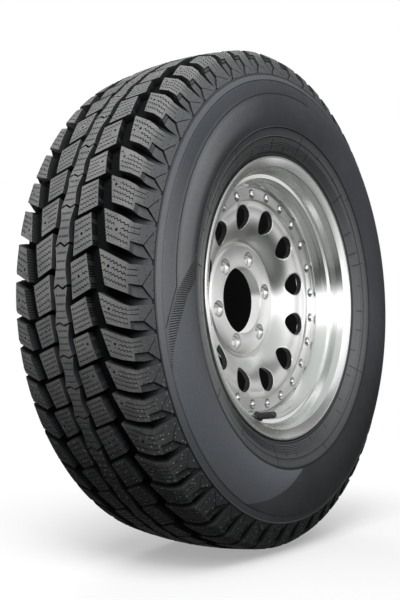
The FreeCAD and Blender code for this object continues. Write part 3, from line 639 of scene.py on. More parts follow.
def toothed(start, end, teeth, depth):
    """Points along an edge with small teeth that stand out to its right, without the end."""
    start, end = np.asarray(start, float), np.asarray(end, float)
    ahead = (end - start) / np.linalg.norm(end - start)
    out = np.array([ahead[1], -ahead[0]])
    share = np.linspace(0, 1, 2 * teeth + 1)[:-1]
    high = np.where(np.arange(2 * teeth) % 2 == 0, 0.0, depth)
    return (start + share[:, None] * (end - start) + high[:, None] * out).tolist()


def circle(centre, radius, steps):
    """Closed circle."""
    turn = np.arange(steps) * 2 * math.pi / steps
    return np.stack([centre[0] + radius * np.cos(turn), centre[1] + radius * np.sin(turn)], axis=1)


def between_points(first, second, share):
    """Place at a share of the way between two places."""
    return np.asarray(first, float) * (1 - share) + np.asarray(second, float) * share


def spot(across, share):
    """Place on the flat tread from a length across and a share of the pitch."""
    return np.array([share * PITCH_MM, across])


print("pitch", round(PITCH_MM, 2), "mm")

# %% [markdown]
# ## The five rows of blocks
#
# The tread has a middle row of waisted blocks parted by small kinked cuts, two rows of slanted
# blocks beside it, and two rows of shoulder blocks that bend over the edge and run down the side
# wall as lugs. The rows of the far half are the near rows turned half round, so only three
# outlines are drawn. Sipes run along the slant of each block and stop short of the stud holes.

# %% Sipes and stud holes
SIPE_WIDTH = 1.45
SIPE_DEPTH = 5.0
SIPE_SWING = 1.15
STUD_R = 1.9
STUD_DEPTH = 9.0
STUD_ROOM = 4.2
CENTRE_CUT = 0.54


def sipe(start, end, teeth, stud=None):
    """A zigzag sipe, broken where it would come too close to the stud hole."""
    start, end = np.asarray(start, float), np.asarray(end, float)
    whole = zigzag(start, end, teeth, SIPE_SWING, SIPE_WIDTH)
    if stud is None or np.min(np.linalg.norm(whole - stud, axis=1)) > STUD_ROOM:
        return [(whole, SIPE_DEPTH, 0.0)]
    length = np.linalg.norm(end - start)
    share = float(np.dot(np.asarray(stud) - start, end - start)) / length**2
    gap = (STUD_ROOM + 1.0) / length
    parts = []
    for a, b in ((0.0, share - gap), (share + gap, 1.0)):
        count = round(teeth * (b - a))
        if count >= 1:
            ends = between_points(start, end, a), between_points(start, end, b)
            parts.append((zigzag(*ends, count, SIPE_SWING, SIPE_WIDTH), SIPE_DEPTH, 0.0))
    return parts


def stud_hole(stud):
    """Hole for a stud, or nothing."""
    return [] if stud is None else [(circle(stud, STUD_R, 10), STUD_DEPTH, 0.0)]


# %% [markdown]
# ## Outlines of the blocks
#
# Each outline is a few corners on the flat tread, given as a length across and a share of the
# pitch. A ribbed wall is a row of small teeth along one edge. The shoulder block has extra lines
# where the section bends, so that it folds cleanly over the edge, and its lug carries a stepped
# ledge beside a V of two slits.

# %% Block outlines
SHOULDER_EDGE = 98.7
TAIL_END_R, TAIL_WIDTH, TAIL_DEPTH = 360.5, 1.0, 3.5
LEDGE_TOP, LEDGE_STEP = 1.0, 6.0
# The first ledge step gets little dust, as painted shade of the slanted wall; the second is nearly as light
# as a face.
LEDGE_DEPTHS, LEDGE_DUST_AND_SHADE = (1.5, 3.0), (0.3, 0.85)
BROW_WIDTH = 1.0
V_PEAK_R, V_TIP_R = 355.5, 344.5
V_WIDTH, V_DEPTH = 1.1, 4.5


def middle_block(stud):
    """Slanted block between the narrow and the wide groove, with a ribbed wall on the wide one."""
    a, b = spot(17.0, 0.0), spot(42.5, -0.2)
    c, d = spot(51.0, 0.61), spot(20.5, 0.85)
    outline = [a.tolist(), d.tolist()] + toothed(c, b, teeth=14, depth=-1.4) + [b.tolist()]
    cuts = []
    for share in (0.15, 0.325, 0.5, 0.675, 0.85):
        start, end = between_points(a, d, share), between_points(b, c, share)
        cuts += sipe(between_points(start, end, 0.04), between_points(start, end, 0.92), 6, stud)
    return outline, cuts + stud_hole(stud), []


def centre_block():
    """Waisted block of the middle row, parted from the next by a kinked cut."""
    half_gap, end_half, waist_half = 1.3, 11.9, 8.2
    kink = [(-end_half, 1.3), (-end_half / 3, -2.2), (end_half / 3, 2.2), (end_half, -1.3)]
    first, last = CENTRE_CUT * PITCH_MM, (CENTRE_CUT + 1) * PITCH_MM
    low = [(first + half_gap + shift, across) for across, shift in kink]
    high = [(last - half_gap + shift, across) for across, shift in reversed(kink)]
    share = np.linspace(0, 1, 9)[1:-1]
    half = waist_half + (end_half - waist_half) * np.abs(2 * share - 1) ** 1.6
    middle = first + half_gap + share * (last - first - 2 * half_gap)
    right = list(zip(middle, half))
    left = list(zip(middle[::-1], -half))
    cuts = []
    for t in (0.2, 0.4, 0.6, 0.8):
        x = first + t * (last - first)
        reach = waist_half - 0.4 + 2.2 * (2 * t - 1) ** 2
        cuts += sipe((x, -reach), (x, reach), 4)
    return low + right + high + left, cuts, []


def shoulder_block(stud):
    """Shoulder block that bends over the edge and ends as a lug on the side wall."""
    edge = run_at_across(SHOULDER_EDGE)
    lug_end = run_at_radius(LUG_END_R)
    tail_end = run_at_radius(TAIL_END_R)
    a, b = spot(62.0, 0.72), spot(run_at_across(100.0), 1.1)
    c, d = spot(run_at_across(104.7), 1.877), spot(72.0, 1.568)
    teeth = toothed(d, a, teeth=12, depth=-0.9)[::-1][:-1]
    outline = [a.tolist()] + teeth + [d.tolist(), c.tolist()]
    outline += [spot(lug_end, 1.92).tolist(), spot(lug_end, 1.07).tolist(), b.tolist()]
    cuts = []
    for share in (0.17, 0.37, 0.57, 0.78):
        start, end = between_points(a, d, share), spot(edge - 1.5, 1.1 + 0.69 * share)
        cuts += sipe(between_points(start, end, 0.03), end, 7, stud)
        if share < 0.5:
            tail = straight_slit(end + (0, 0.4), spot(tail_end, 1.11 + 0.68 * share), TAIL_WIDTH)
            cuts.append((tail, TAIL_DEPTH, 0.0))
    top, step, tip_run = edge + LEDGE_TOP, edge + LEDGE_STEP, run_at_radius(V_TIP_R)
    peak, brow = spot(run_at_radius(V_PEAK_R), 1.6), spot(top, 1.56)
    tip_high, tip_low = spot(tip_run, 1.22), spot(tip_run, 1.9)
    # The ledge steps down twice below its brow and ends at the lower leg of the V.
    first_step = [brow, spot(top, 1.99), spot(step, 1.99), spot(step, 1.57)]
    second_step = [spot(step, 1.57), spot(step, 1.99), tip_low + (2.0, 0), tip_low, peak]
    # The first step's low dust value is painted shade.
    for ledge, depth, dust in zip((first_step, second_step), LEDGE_DEPTHS, LEDGE_DUST_AND_SHADE):
        cuts.append((np.array(ledge), depth, dust))
    cuts.append((straight_slit(brow, peak, BROW_WIDTH), V_DEPTH, 0.0))
    for tip in (tip_high, tip_low):
        cuts.append((straight_slit(peak, tip, V_WIDTH), V_DEPTH, 0.0))
    bends = [
        [(0.6 * PITCH_MM, run[i]), (2.1 * PITCH_MM, run[i])]
        for i in range(len(crown) - 1, len(crown) + len(shoulder) - 1)
    ]
    return outline, cuts + stud_hole(stud), bends


# %% [markdown]
# ## Vent nibs
#
# Air leaves the mould through small vents, and the rubber that follows it is trimmed to low nibs,
# about a finger's width apart on every block. A nib is a cone with its tip cut off and has only a
# few faces, since there are thousands of them. They keep away from edges, sipes and stud holes.

# %% Nibs and pitch modules
NIB_STEP = 8.6
NIB_SHIFT = 2.0
NIB_MARGIN = 2.5
NIB_ROOM = 1.9
NIB_SIDES = 6
NIB_R, NIB_FOOT = 1.0, -0.4
NIB_TIP_R, NIB_RISE = 0.45, 0.55
NIB_DUST = 0.25
DRAWINGS = 4
chance = np.random.default_rng(7)


def nibs_on(outline, cuts):
    """Points, faces and dust of the nibs on a block."""
    outline = np.asarray(outline)
    low, high = outline.min(axis=0) + NIB_MARGIN, outline.max(axis=0) - NIB_MARGIN
    rows, columns = np.meshgrid(*[np.arange(a, b, NIB_STEP) for a, b in zip(low, high)])
    places = np.stack([rows.ravel(), columns.ravel()], axis=1)
    places = places + chance.uniform(-NIB_SHIFT, NIB_SHIFT, places.shape)
    taken = np.vstack([outline] + [cut[0] for cut in cuts])
    points, faces, dusts = [], [], []
    sides = range(NIB_SIDES)
    for place in places[inside(places, outline)]:
        if np.min(np.linalg.norm(taken - place, axis=1)) < NIB_ROOM:
            continue
        if any(inside(place[None], np.asarray(cut[0]))[0] for cut in cuts):
            continue
        foot, tip = len(points), len(points) + NIB_SIDES
        for radius, height in ((NIB_R, NIB_FOOT), (NIB_TIP_R, NIB_RISE)):
            points += [(x, y, height) for x, y in circle(place, radius, NIB_SIDES)]
        for j in sides:
            k = (j + 1) % NIB_SIDES
            faces.append([foot + j, foot + k, tip + k, tip + j])
        faces += [[tip + j for j in sides], [tip - 1 - j for j in sides]]
        dusts += [0.0] * NIB_SIDES + [NIB_DUST, 0.0]
    return points, faces, dusts


def whole_block(outline, cuts, bends):
    """Carved block with its nibs."""
    points, faces, dusts = carved(outline, cuts, bends)
    more_points, more_faces, more_dusts = nibs_on(outline, cuts)
    faces = faces + [[i + len(points) for i in face] for face in more_faces]
    return points + more_points, faces, dusts + more_dusts


def turned_half_round(block):
    """The same block on the other half of the tread."""
    points, faces, dusts = block
    return [(2 * CENTRE_CUT * PITCH_MM - x, -across, height) for x, across, height in points], faces, dusts


def pitch_module(name, blocks):
    """Mesh of some blocks of one pitch: X in pitches, Y and Z in metres."""
    points, faces, dusts = [], [], []
    for flat, shape, dust in blocks:
        faces += [[i + len(points) for i in face] for face in shape]
        points += [(x / PITCH_MM, across * MM, height * MM) for x, across, height in flat]
        dusts += dust
    mesh = bpy.data.meshes.new(name)
    mesh.from_pydata(points, [], faces)
    mesh.attributes.new("dust", "FLOAT", "FACE").data.foreach_set("value", dusts)
    print(name, len(points), "points", len(faces), "faces")
    return bpy.data.objects.new(name, mesh)


STUDS_MIDDLE = [spot(31.0, 0.33), None, spot(39.0, 0.16), None]
STUDS_SHOULDER = [spot(76.0, 1.14), spot(84.0, 1.3), spot(72.0, 1.05), spot(80.0, 1.2)]
crown_modules = bpy.data.collections.new("crown_modules")
shoulder_modules = bpy.data.collections.new("shoulder_modules")
for i in range(DRAWINGS):
    blocks = [
        whole_block(*centre_block()),
        whole_block(*middle_block(STUDS_MIDDLE[i])),
        turned_half_round(whole_block(*middle_block(STUDS_MIDDLE[(i + 1) % DRAWINGS]))),
    ]
    crown_modules.objects.link(pitch_module(f"crown_pitch_{i}", blocks))
    blocks = [
        whole_block(*shoulder_block(STUDS_SHOULDER[i])),
        turned_half_round(whole_block(*shoulder_block(STUDS_SHOULDER[(i + 2) % DRAWINGS]))),
    ]
    shoulder_modules.objects.link(pitch_module(f"shoulder_pitch_{i}", blocks))

# %% [markdown]
# ## Wrapping the tread
#
# Pitches differ in length, short, medium and long in a mixed order, so that the tread doesn't hum.
# A line of points carries, for each pitch, its start angle, its span and which drawing it uses.
# The tree puts a flat pitch on each point, then moves every vertex: the whole part of X picks the
# pitch, the rest of it gives the angle, Y is a length along the tyre's section, and Z goes along
# the section's normal. A deep groove wall thus stays square to the rubber also on the shoulder.

# %% Wrap group
def new_tree(name, **inputs):
    """Geometry tree with inputs of these names and kinds, its group input and its group output."""
    tree = bpy.data.node_groups.new(name, "GeometryNodeTree")
    for label, kind in {"Geometry": "Geometry", **inputs, "Material": "Material"}.items():
        tree.interface.new_socket(label, in_out="INPUT", socket_type="NodeSocket" + kind)
    tree.interface.new_socket("Geometry", in_out="OUTPUT", socket_type="NodeSocketGeometry")
    return tree, node(tree, "NodeGroupInput"), node(tree, "NodeGroupOutput")


def wrapped(tree, turn, across, height, section):
    """Place on the tyre of an angle, a length across the rubber and a height over it."""
    along = calc(tree, "ABSOLUTE", across)
    side = calc(tree, "SIGN", across)
    line = node(tree, "GeometryNodeObjectInfo", {"Object": section}, transform_space="ORIGINAL")
    sample = node(tree, "GeometryNodeSampleCurve", mode="LENGTH", use_all_curves=True)
    tree.links.new(line.outputs["Geometry"], sample.inputs["Curves"])
    tree.links.new(along, sample.inputs["Length"])
    at = node(tree, "ShaderNodeSeparateXYZ", {0: sample.outputs["Position"]})
    heading = node(tree, "ShaderNodeSeparateXYZ", {0: sample.outputs["Tangent"]})
    out = calc(tree, "SUBTRACT", at.outputs[0], calc(tree, "MULTIPLY", heading.outputs[1], height))
    radius = calc(tree, "ADD", at.outputs[1], calc(tree, "MULTIPLY", heading.outputs[0], height))
    return node(
        tree,
        "ShaderNodeCombineXYZ",
        {
            0: calc(tree, "MULTIPLY", radius, calc(tree, "COSINE", turn)),
            1: calc(tree, "MULTIPLY", calc(tree, "MULTIPLY", out, side), -1.0),
            2: calc(tree, "MULTIPLY", radius, calc(tree, "SINE", turn)),
        },
    ).outputs[0]


def named_value(tree, name, kind="FLOAT"):
    """Output of a named attribute."""
    return node(tree, "GeometryNodeInputNamedAttribute", {"Name": name}, data_type=kind).outputs[0]


def picked_values(tree, points, index, names):
    """Named values of the point with this index."""
    picked = []
    for name in names:
        sockets = {"Geometry": points, "Value": named_value(tree, name), "Index": index}
        sample = node(tree, "GeometryNodeSampleIndex", sockets, data_type="FLOAT", domain="POINT")
        picked.append(sample.outputs[0])
    return picked


def finished(tree, geometry, material, out):
    """Close the tree: real faces, their material, and the output."""
    real = node(tree, "GeometryNodeRealizeInstances", {0: geometry})
    painted = node(tree, "GeometryNodeSetMaterial", {"Geometry": real.outputs[0], "Material": material})
    tree.links.new(painted.outputs[0], out.inputs[0])


def tread_tree():
    """Tree that lays pitches of a flat tread round the tyre."""
    inputs = {"Pitches": "Collection", "Section": "Object", "Count": "Float"}
    tree, group, out = new_tree("tread_round_the_tyre", **inputs)
    flat = node(tree, "GeometryNodeCollectionInfo", {"Collection": group.outputs["Pitches"]})
    flat.inputs["Separate Children"].default_value = True
    flat.inputs["Reset Children"].default_value = True
    laid = node(
        tree,
        "GeometryNodeInstanceOnPoints",
        {
            "Points": group.outputs["Geometry"],
            "Instance": flat.outputs[0],
            "Pick Instance": True,
            "Instance Index": named_value(tree, "drawing", "INT"),
        },
    )
    real = node(tree, "GeometryNodeRealizeInstances", {0: laid.outputs[0]})
    place = node(tree, "ShaderNodeSeparateXYZ", {0: node(tree, "GeometryNodeInputPosition").outputs[0]})
    whole = calc(tree, "FLOOR", place.outputs[0])
    rest = calc(tree, "SUBTRACT", place.outputs[0], whole)
    index = calc(tree, "FLOORED_MODULO", whole, group.outputs["Count"])
    start, span = picked_values(tree, group.outputs["Geometry"], index, ("start", "span"))
    turn = calc(tree, "MULTIPLY_ADD", rest, span, start)
    height = place.outputs[2]
    kept = node(
        tree,
        "GeometryNodeStoreNamedAttribute",
        {"Geometry": real.outputs[0], "Name": "lift", "Value": calc(tree, "MULTIPLY", height, 1 / MM)},
        data_type="FLOAT",
        domain="POINT",
    )
    at = wrapped(tree, turn, place.outputs[1], height, group.outputs["Section"])
    moved = node(tree, "GeometryNodeSetPosition", {"Geometry": kept.outputs[0], "Position": at})
    finished(tree, moved.outputs[0], group.outputs["Material"], out)
    return tree


TREAD_TREE = tread_tree()
print(TREAD_TREE.name, len(TREAD_TREE.nodes), "nodes")

# %% [markdown]
# ## From a tree to a piece
#
# A tree could stay on its object as a modifier. Here it is run once and its result is kept as a
# plain mesh, so that the piece can ride on a body and be exported as it is. The tread becomes two
# pieces, the crown with its three rows and the two shoulders.

# %% Run a tree into a plain mesh
def baked(name, base, tree, values, body, angle=30.0):
    """Run a geometry tree on a base mesh, keep the result as a plain piece on a body."""
    carrier = bpy.data.objects.new(name + "_base", base)
    scene.collection.objects.link(carrier)
    modifier = carrier.modifiers.new("nodes", "NODES")
    modifier.node_group = tree
    for item in tree.interface.items_tree:
        if item.in_out == "INPUT" and item.name in values:
            modifier[item.identifier] = values[item.name]
    bpy.context.view_layer.update()
    ready = carrier.evaluated_get(bpy.context.evaluated_depsgraph_get())
    mesh = bpy.data.meshes.new_from_object(ready)
    carrier.modifiers.clear()
    bpy.data.objects.remove(carrier)
    mesh.name = name
    finish_shading(mesh, angle)
    made = bpy.data.objects.new(name, mesh)
    scene.collection.objects.link(made)
    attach(made, body)
    print(name, len(mesh.vertices), "points", len(mesh.polygons), "faces")
    return made


def point_mesh(name, places, **values):
    """Loose points with named values on them."""
    mesh = bpy.data.meshes.new(name)
    mesh.from_pydata([tuple(p) for p in places], [], [])
    for label, numbers in values.items():
        kind = "INT" if isinstance(numbers[0], int) else "FLOAT"
        mesh.attributes.new(label, kind, "POINT").data.foreach_set("value", numbers)
    return mesh


PITCH_SHARE = {"S": 6.05, "M": 7.0, "L": 7.95}
PITCH_ORDER = "SLLSMLLSSSSLMSLSSMLSLMSSLLMSSMLSSLMLSSMLSLSMSLLMSSLS"
PITCH_START = 133.7
shares = np.array([PITCH_SHARE[kind] for kind in PITCH_ORDER])
spans = 2 * math.pi * shares / shares.sum()
starts = math.radians(PITCH_START) + np.concatenate([[0], np.cumsum(spans)[:-1]])
for name, modules in (("tread_crown", crown_modules), ("tread_shoulders", shoulder_modules)):
    base = point_mesh(
        name + "_points",
        [(i, 0, 0) for i in range(PITCH_COUNT)],
        start=starts.tolist(),
        span=spans.tolist(),
        drawing=[(i * 7 + i // 3) % DRAWINGS for i in range(PITCH_COUNT)],
    )
    values = {"Pitches": modules, "Section": tyre_section, "Count": float(PITCH_COUNT)}
    values["Material"] = TREAD_RUBBER
    baked(name, base, TREAD_TREE, values, "wheel")

# %% [markdown]
# ## Casing and side walls
#
# Under the blocks the casing closes the grooves, and from the ends of the lugs down to the rim it
# is the side wall. It is one section turned round the axle. The rings that the mould leaves on a
# side wall, a step under the lugs, two fine lines and a field of narrow ribs by the rim, are
# raised on that section itself, so they are true shapes also in the side view.

# %% Casing
SIDE_RINGS = [(340.2, 1.1, 1.5), (330.0, -0.8, 0.9), (261.0, 0.8, 1.0), (248.0, 0.6, 0.8)]
RIB_FIELD = (227.5, 241.0)
RIB_PITCH = 2.4
RIB_WAVE = 0.55
SIDE_LOW_R, SIDE_STEP = 226.0, 2.6
GROOVE_FROM_R = 346.0
CASING_STEPS = 288


def side_height(radius):
    """Height of the moulded rings over the plain side wall."""
    height = np.zeros_like(radius)
    for middle, rise, half in SIDE_RINGS:
        height += rise * np.clip(1 - np.abs(radius - middle) / half, 0, 1)
    ribs = (radius > RIB_FIELD[0]) & (radius < RIB_FIELD[1])
    height += np.where(ribs, RIB_WAVE * np.sin(2 * math.pi * (radius - RIB_FIELD[0]) / RIB_PITCH), 0)
    return height


ring_edges = [m + k * h for m, _, h in SIDE_RINGS for k in (-1, -0.5, 0, 0.5, 1)]
rib_edges = np.arange(RIB_FIELD[0], RIB_FIELD[1], RIB_PITCH / 4)
plain_edges = np.arange(SIDE_LOW_R, LUG_END_R - 0.2, SIDE_STEP)
side_radii = np.unique(np.round(np.concatenate([plain_edges, ring_edges, rib_edges]), 2))[::-1]
side_across = across_at_radius(side_radii) + side_height(side_radii)
FLOOR_R = TYRE_R - GROOVE_DEPTH
half_section = [(FLOOR_R, 0.0), (FLOOR_R, 40.0), (FLOOR_R - 0.6, 56.0), (371.0, 72.0), (366.0, 86.0)]
half_section += [(358.5, 96.0), (350.0, 104.5), (341.9, 111.6)]
half_section += list(zip(side_radii, side_across))
half_section += [
    (224.2, 102.4), (222.6, 100.9), (221.6, 98.6), (214.0, 89.2), (209.0, 88.6), (203.2, 82.4),
    (203.0, 71.2),
]
liner = [
    (206.5, 71.2), (260.0, 108.0), (300.0, 114.0), (333.0, 108.0), (355.0, 88.0), (361.0, 56.0),
    (362.0, 0.0),
]
outer_half = [(r, -y) for r, y in half_section + liner]
inner_half = [(r, y) for r, y in (half_section + liner)[::-1] if y > 0]
casing = lathe("tyre_casing", outer_half + inner_half, CASING_STEPS, SIDE_RUBBER)
casing.data.materials.append(GROOVE_RUBBER)
for face in casing.data.polygons:
    face.material_index = int(math.hypot(face.center.x, face.center.z) > GROOVE_FROM_R * MM)
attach(casing, "wheel")
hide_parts("tyre")
print("casing", len(casing.data.polygons), "faces")

# %% [markdown]
# ## Crescent of fine ribs
#
# Where the smooth panel begins, the mould has a crescent filled with fine ribs that point to the
# axle. Each rib is one small bar, drawn from 0 to 1 along its length. The points carry the angle
# of a rib and where it begins and ends on the rubber, and the tree lays the bars on the side wall
# with the same wrapping as the tread.

# %% Ribs laid on the side wall
BAR_FOOT, BAR_END_TOP = 0.4, 0.35
RIB_FIRST, RIB_LAST, RIB_STEP = 171.8, 198.8, 0.54
RIB_SHARE = 0.62
RIB_RISE = 0.7


def rib_tree():
    """Tree that lays bars on the tyre, each between two lengths across the rubber."""
    inputs = {"Bar": "Object", "Section": "Object", "Width": "Float", "Rise": "Float"}
    tree, group, out = new_tree("bars_on_the_tyre", **inputs)
    bar = node(tree, "GeometryNodeObjectInfo", {"Object": group.outputs["Bar"]}, transform_space="ORIGINAL")
    laid = node(
        tree,
        "GeometryNodeInstanceOnPoints",
        {"Points": group.outputs["Geometry"], "Instance": bar.outputs["Geometry"]},
    )
    real = node(tree, "GeometryNodeRealizeInstances", {0: laid.outputs[0]})
    place = node(tree, "ShaderNodeSeparateXYZ", {0: node(tree, "GeometryNodeInputPosition").outputs[0]})
    index = calc(tree, "ROUND", place.outputs[0])
    aside = calc(tree, "SUBTRACT", place.outputs[0], index)
    names = ("turn", "begin", "finish")
    middle, begin, finish = picked_values(tree, group.outputs["Geometry"], index, names)
    turn = calc(tree, "MULTIPLY_ADD", aside, group.outputs["Width"], middle)
    length = calc(tree, "SUBTRACT", finish, begin)
    across = calc(tree, "MULTIPLY_ADD", place.outputs[1], length, begin)
    height = calc(tree, "MULTIPLY", place.outputs[2], group.outputs["Rise"])
    at = wrapped(tree, turn, across, height, group.outputs["Section"])
    moved = node(tree, "GeometryNodeSetPosition", {"Geometry": real.outputs[0], "Position": at})
    finished(tree, moved.outputs[0], group.outputs["Material"], out)
    return tree


def bar_object(stations=7):
    """Bar from 0 to 1 along Y, narrower at its top, which slopes down at both ends."""
    points, faces = [], []
    foot, head = BAR_FOOT / 2, BAR_FOOT / 4
    for i, along in enumerate(np.linspace(0, 1, stations)):
        top = BAR_END_TOP if i in (0, stations - 1) else 1.0
        points += [(-foot, along, -1.0), (-head, along, top), (head, along, top), (foot, along, -1.0)]
    for i in range(stations - 1):
        a, b = 4 * i, 4 * i + 4
        for j in range(4):
            k = (j + 1) % 4
            faces.append((a + j, b + j, b + k, a + k))
    faces += [(0, 1, 2, 3), tuple(4 * stations - 1 - j for j in range(4))]
    mesh = bpy.data.meshes.new("rib_bar")
    mesh.from_pydata(points, [], faces)
    return bpy.data.objects.new("rib_bar", mesh)


BAR_TREE = rib_tree()
BAR = bar_object()


def bars_on_tyre(name, turns, begins, ends, width, rise, material):
    """Piece of radial bars: an angle in degrees and two radii for each, and one width in degrees."""
    base = point_mesh(
        name + "_points",
        [(i, 0, 0) for i in range(len(turns))],
        turn=np.radians(turns).tolist(),
        begin=[run_at_radius(r) * MM for r in begins],
        finish=[run_at_radius(r) * MM for r in ends],
    )
    values = {"Bar": BAR, "Section": tyre_section, "Width": math.radians(width) / BAR_FOOT}
    values.update({"Rise": rise * MM, "Material": material})
    baked(name, base, BAR_TREE, values, "wheel")


rib_turns = np.arange(RIB_FIRST, RIB_LAST, RIB_STEP)
rib_far = np.interp(rib_turns, *np.transpose(CRESCENT_OUTER))
rib_near = np.interp(rib_turns, *np.transpose(CRESCENT_INNER))
bars_on_tyre("side_wall_ribs", rib_turns, rib_far, rib_near, RIB_STEP * RIB_SHARE, RIB_RISE, RIB_RUBBER)

# %% [markdown]
# ## Seams of the mould
#
# Where parts of the mould meet, a tyre carries hairlines: short ones that cross the bead zone to
# the rim, and one long line that ends the dark band in a slant. The short ones are bars again.
# The long one is a ribbon drawn flat, angle against length, and laid on the rubber by a tree.

# %% Hairlines
SEAM_COUNT = 42
SEAM_SHIFT = 0.35
SEAM_END_R = 226.5
SEAM_WIDTH, SEAM_RISE = 0.45, 0.4
EDGE_WIDTH, EDGE_RISE = 1.5, 0.35
RIBBON_FOOT = -0.4
seam_chance = np.random.default_rng(11)
seam_shifts = seam_chance.uniform(-SEAM_SHIFT, SEAM_SHIFT, SEAM_COUNT)
seam_turns = (np.arange(SEAM_COUNT) + seam_shifts) * 360 / SEAM_COUNT
seam_far = seam_chance.choice([236.0, 244.0, 252.0, 259.0], SEAM_COUNT)
seam_near = seam_far - seam_chance.choice([7.0, 12.0, 22.0, 32.0], SEAM_COUNT)
seam_near = np.maximum(seam_near, SEAM_END_R)
bars_on_tyre("mould_seams", seam_turns, seam_far, seam_near, SEAM_WIDTH, SEAM_RISE, SEAM_RUBBER)


def drawing_tree():
    """Tree that lays a flat drawing on the tyre: X is the angle, Y the length across, Z the height."""
    tree, group, out = new_tree("drawing_on_the_tyre", Section="Object")
    place = node(tree, "ShaderNodeSeparateXYZ", {0: node(tree, "GeometryNodeInputPosition").outputs[0]})
    at = wrapped(tree, *place.outputs, group.outputs["Section"])
    moved = node(tree, "GeometryNodeSetPosition", {"Geometry": group.outputs["Geometry"], "Position": at})
    finished(tree, moved.outputs[0], group.outputs["Material"], out)
    return tree


def ribbon(name, corners, width, rise):
    """Flat drawing of a closed ribbon along corners of (angle in degrees, radius)."""
    line = smooth_line(corners, 12)
    turn, radius = np.radians(line[:, 0]), line[:, 1]
    length = np.array([run_at_radius(r) for r in radius])
    ahead = np.stack([np.gradient(turn) * radius, np.gradient(length)], axis=1)
    ahead /= np.linalg.norm(ahead, axis=1)[:, None]
    points = []
    for share, height in ((-0.5, RIBBON_FOOT), (-0.3, rise), (0.3, rise), (0.5, RIBBON_FOOT)):
        shifted_turn = turn - ahead[:, 1] * share * width / radius
        shifted_length = length + ahead[:, 0] * share * width
        level = np.full(len(turn), height * MM)
        points.append(np.stack([shifted_turn, shifted_length * MM, level], axis=1))
    count = len(turn)
    faces = [
        (j * count + i, (j + 1) % 4 * count + i, (j + 1) % 4 * count + i + 1, j * count + i + 1)
        for j in range(4)
        for i in range(count - 1)
    ]
    faces += [(0, 3 * count, 2 * count, count), tuple(count * j + count - 1 for j in range(4))]
    mesh = bpy.data.meshes.new(name)
    mesh.from_pydata(np.vstack(points).tolist(), [], faces)
    return mesh


SLANT_LINE = [
    (BAND_START, 310.0), (110.0, 310.0), (140.0, 310.0), (168.0, 310.0), (178.0, 309.3), (181.0, 308.6),
    (183.5, 313.0), (187.0, 321.0), (190.5, 329.0),
]
slant = baked(
    "band_edge",
    ribbon("band_edge_drawing", SLANT_LINE, EDGE_WIDTH, EDGE_RISE),
    drawing_tree(),
    {"Section": tyre_section, "Material": SEAM_RUBBER},
    "wheel",
)
turn_outwards(slant)

# %% [markdown]
# ## Metals
#
# The rim is spun and polished to a satin shine, with fine rings that the polishing wheel leaves.
# The centre disc is turned and only lightly polished, so its grain draws the light out into a
# soft fan. Rivet heads are pressed and bright, the back of the disc is raw and grey, and the edges
# of the vents are dark with painted shade. Rings of painted shade darken the metal round the rivets
# and the lug seats. The grain and the painted shade go by radius and angle, so they are made from
# polar coordinates round the axle.

# %% Metal materials
def grain(tree, radius, turn, fine, long_way):
    """Noise drawn out round the axle: fine along the radius and long round the turn."""
    across = calc(tree, "DIVIDE", radius, fine)
    around = calc(tree, "DIVIDE", turn, long_way)
    at = node(tree, "ShaderNodeCombineXYZ", {0: across, 1: around}).outputs[0]
    return node(tree, "ShaderNodeTexNoise", {"Vector": at, "Scale": 1.0, "Detail": 3.0}).outputs["Fac"]


def spot_distance(tree, radius, turn, circle_r, count, first):
    """Distance in millimetres from the nearest of equally spaced places on a circle round the axle."""
    half = 180 / count
    part = calc(tree, "RADIANS", calc(tree, "WRAP", calc(tree, "SUBTRACT", turn, first), half, -half))
    aside = calc(tree, "MULTIPLY", radius, calc(tree, "SINE", part))
    out = calc(tree, "SUBTRACT", calc(tree, "MULTIPLY", radius, calc(tree, "COSINE", part)), circle_r)
    return distance(tree, aside, out)


# Equally spaced places on a circle: its radius, how many there are and the first angle in degrees.
RIVET_RING = (167.4, 24, 7.5)
LUG_RING = (69.85, 6, 15.0)


def turned_metal(name, dark, light, smooth, dull, stretch, depth, shade_rings=()):
    """Aluminium with a grain round the axle, and rings of painted shade given as (ring, low, high, share).
    """
    made, tree, shader = new_material(name)
    radius, turn, _ = polar(tree)
    at = place_of(tree)
    lines = grain(tree, radius, turn, 0.5, 40.0)
    clouds = noise(tree, at, 38.0, 4.0)
    tone = blend_colours(tree, clouds, dark, light)
    # Rings of painted shade round rivets and lug seats.
    for ring, low, high, share in shade_rings:
        near = spot_distance(tree, radius, turn, *ring)
        ring_shade = calc(tree, "MULTIPLY", between(tree, near, low, high, 1.0), share)
        tone = blend_colours(tree, ring_shade, tone, (0.16, 0.16, 0.155))
    tree.links.new(tone, shader.inputs["Base Color"])
    mixed = calc(tree, "ADD", calc(tree, "MULTIPLY", lines, 0.6), calc(tree, "MULTIPLY", clouds, 0.4))
    tree.links.new(ramp(tree, mixed, [(0.3, smooth), (0.7, dull)]), shader.inputs["Roughness"])
    tree.links.new(bump(tree, lines, 0.3, depth), shader.inputs["Normal"])
    shader.inputs["Metallic"].default_value = 1.0
    if stretch:
        shader.inputs["Anisotropic"].default_value = stretch
        shader.inputs["Anisotropic Rotation"].default_value = 0.25
        way = node(tree, "ShaderNodeTangent", direction_type="RADIAL", axis="Y")
        tree.links.new(way.outputs[0], shader.inputs["Tangent"])
    return made


RIM_METAL = turned_metal(
    "polished_rim", (0.86, 0.865, 0.86), (0.95, 0.954, 0.95),
    smooth=0.2, dull=0.25, stretch=0.35, depth=0.006,
)
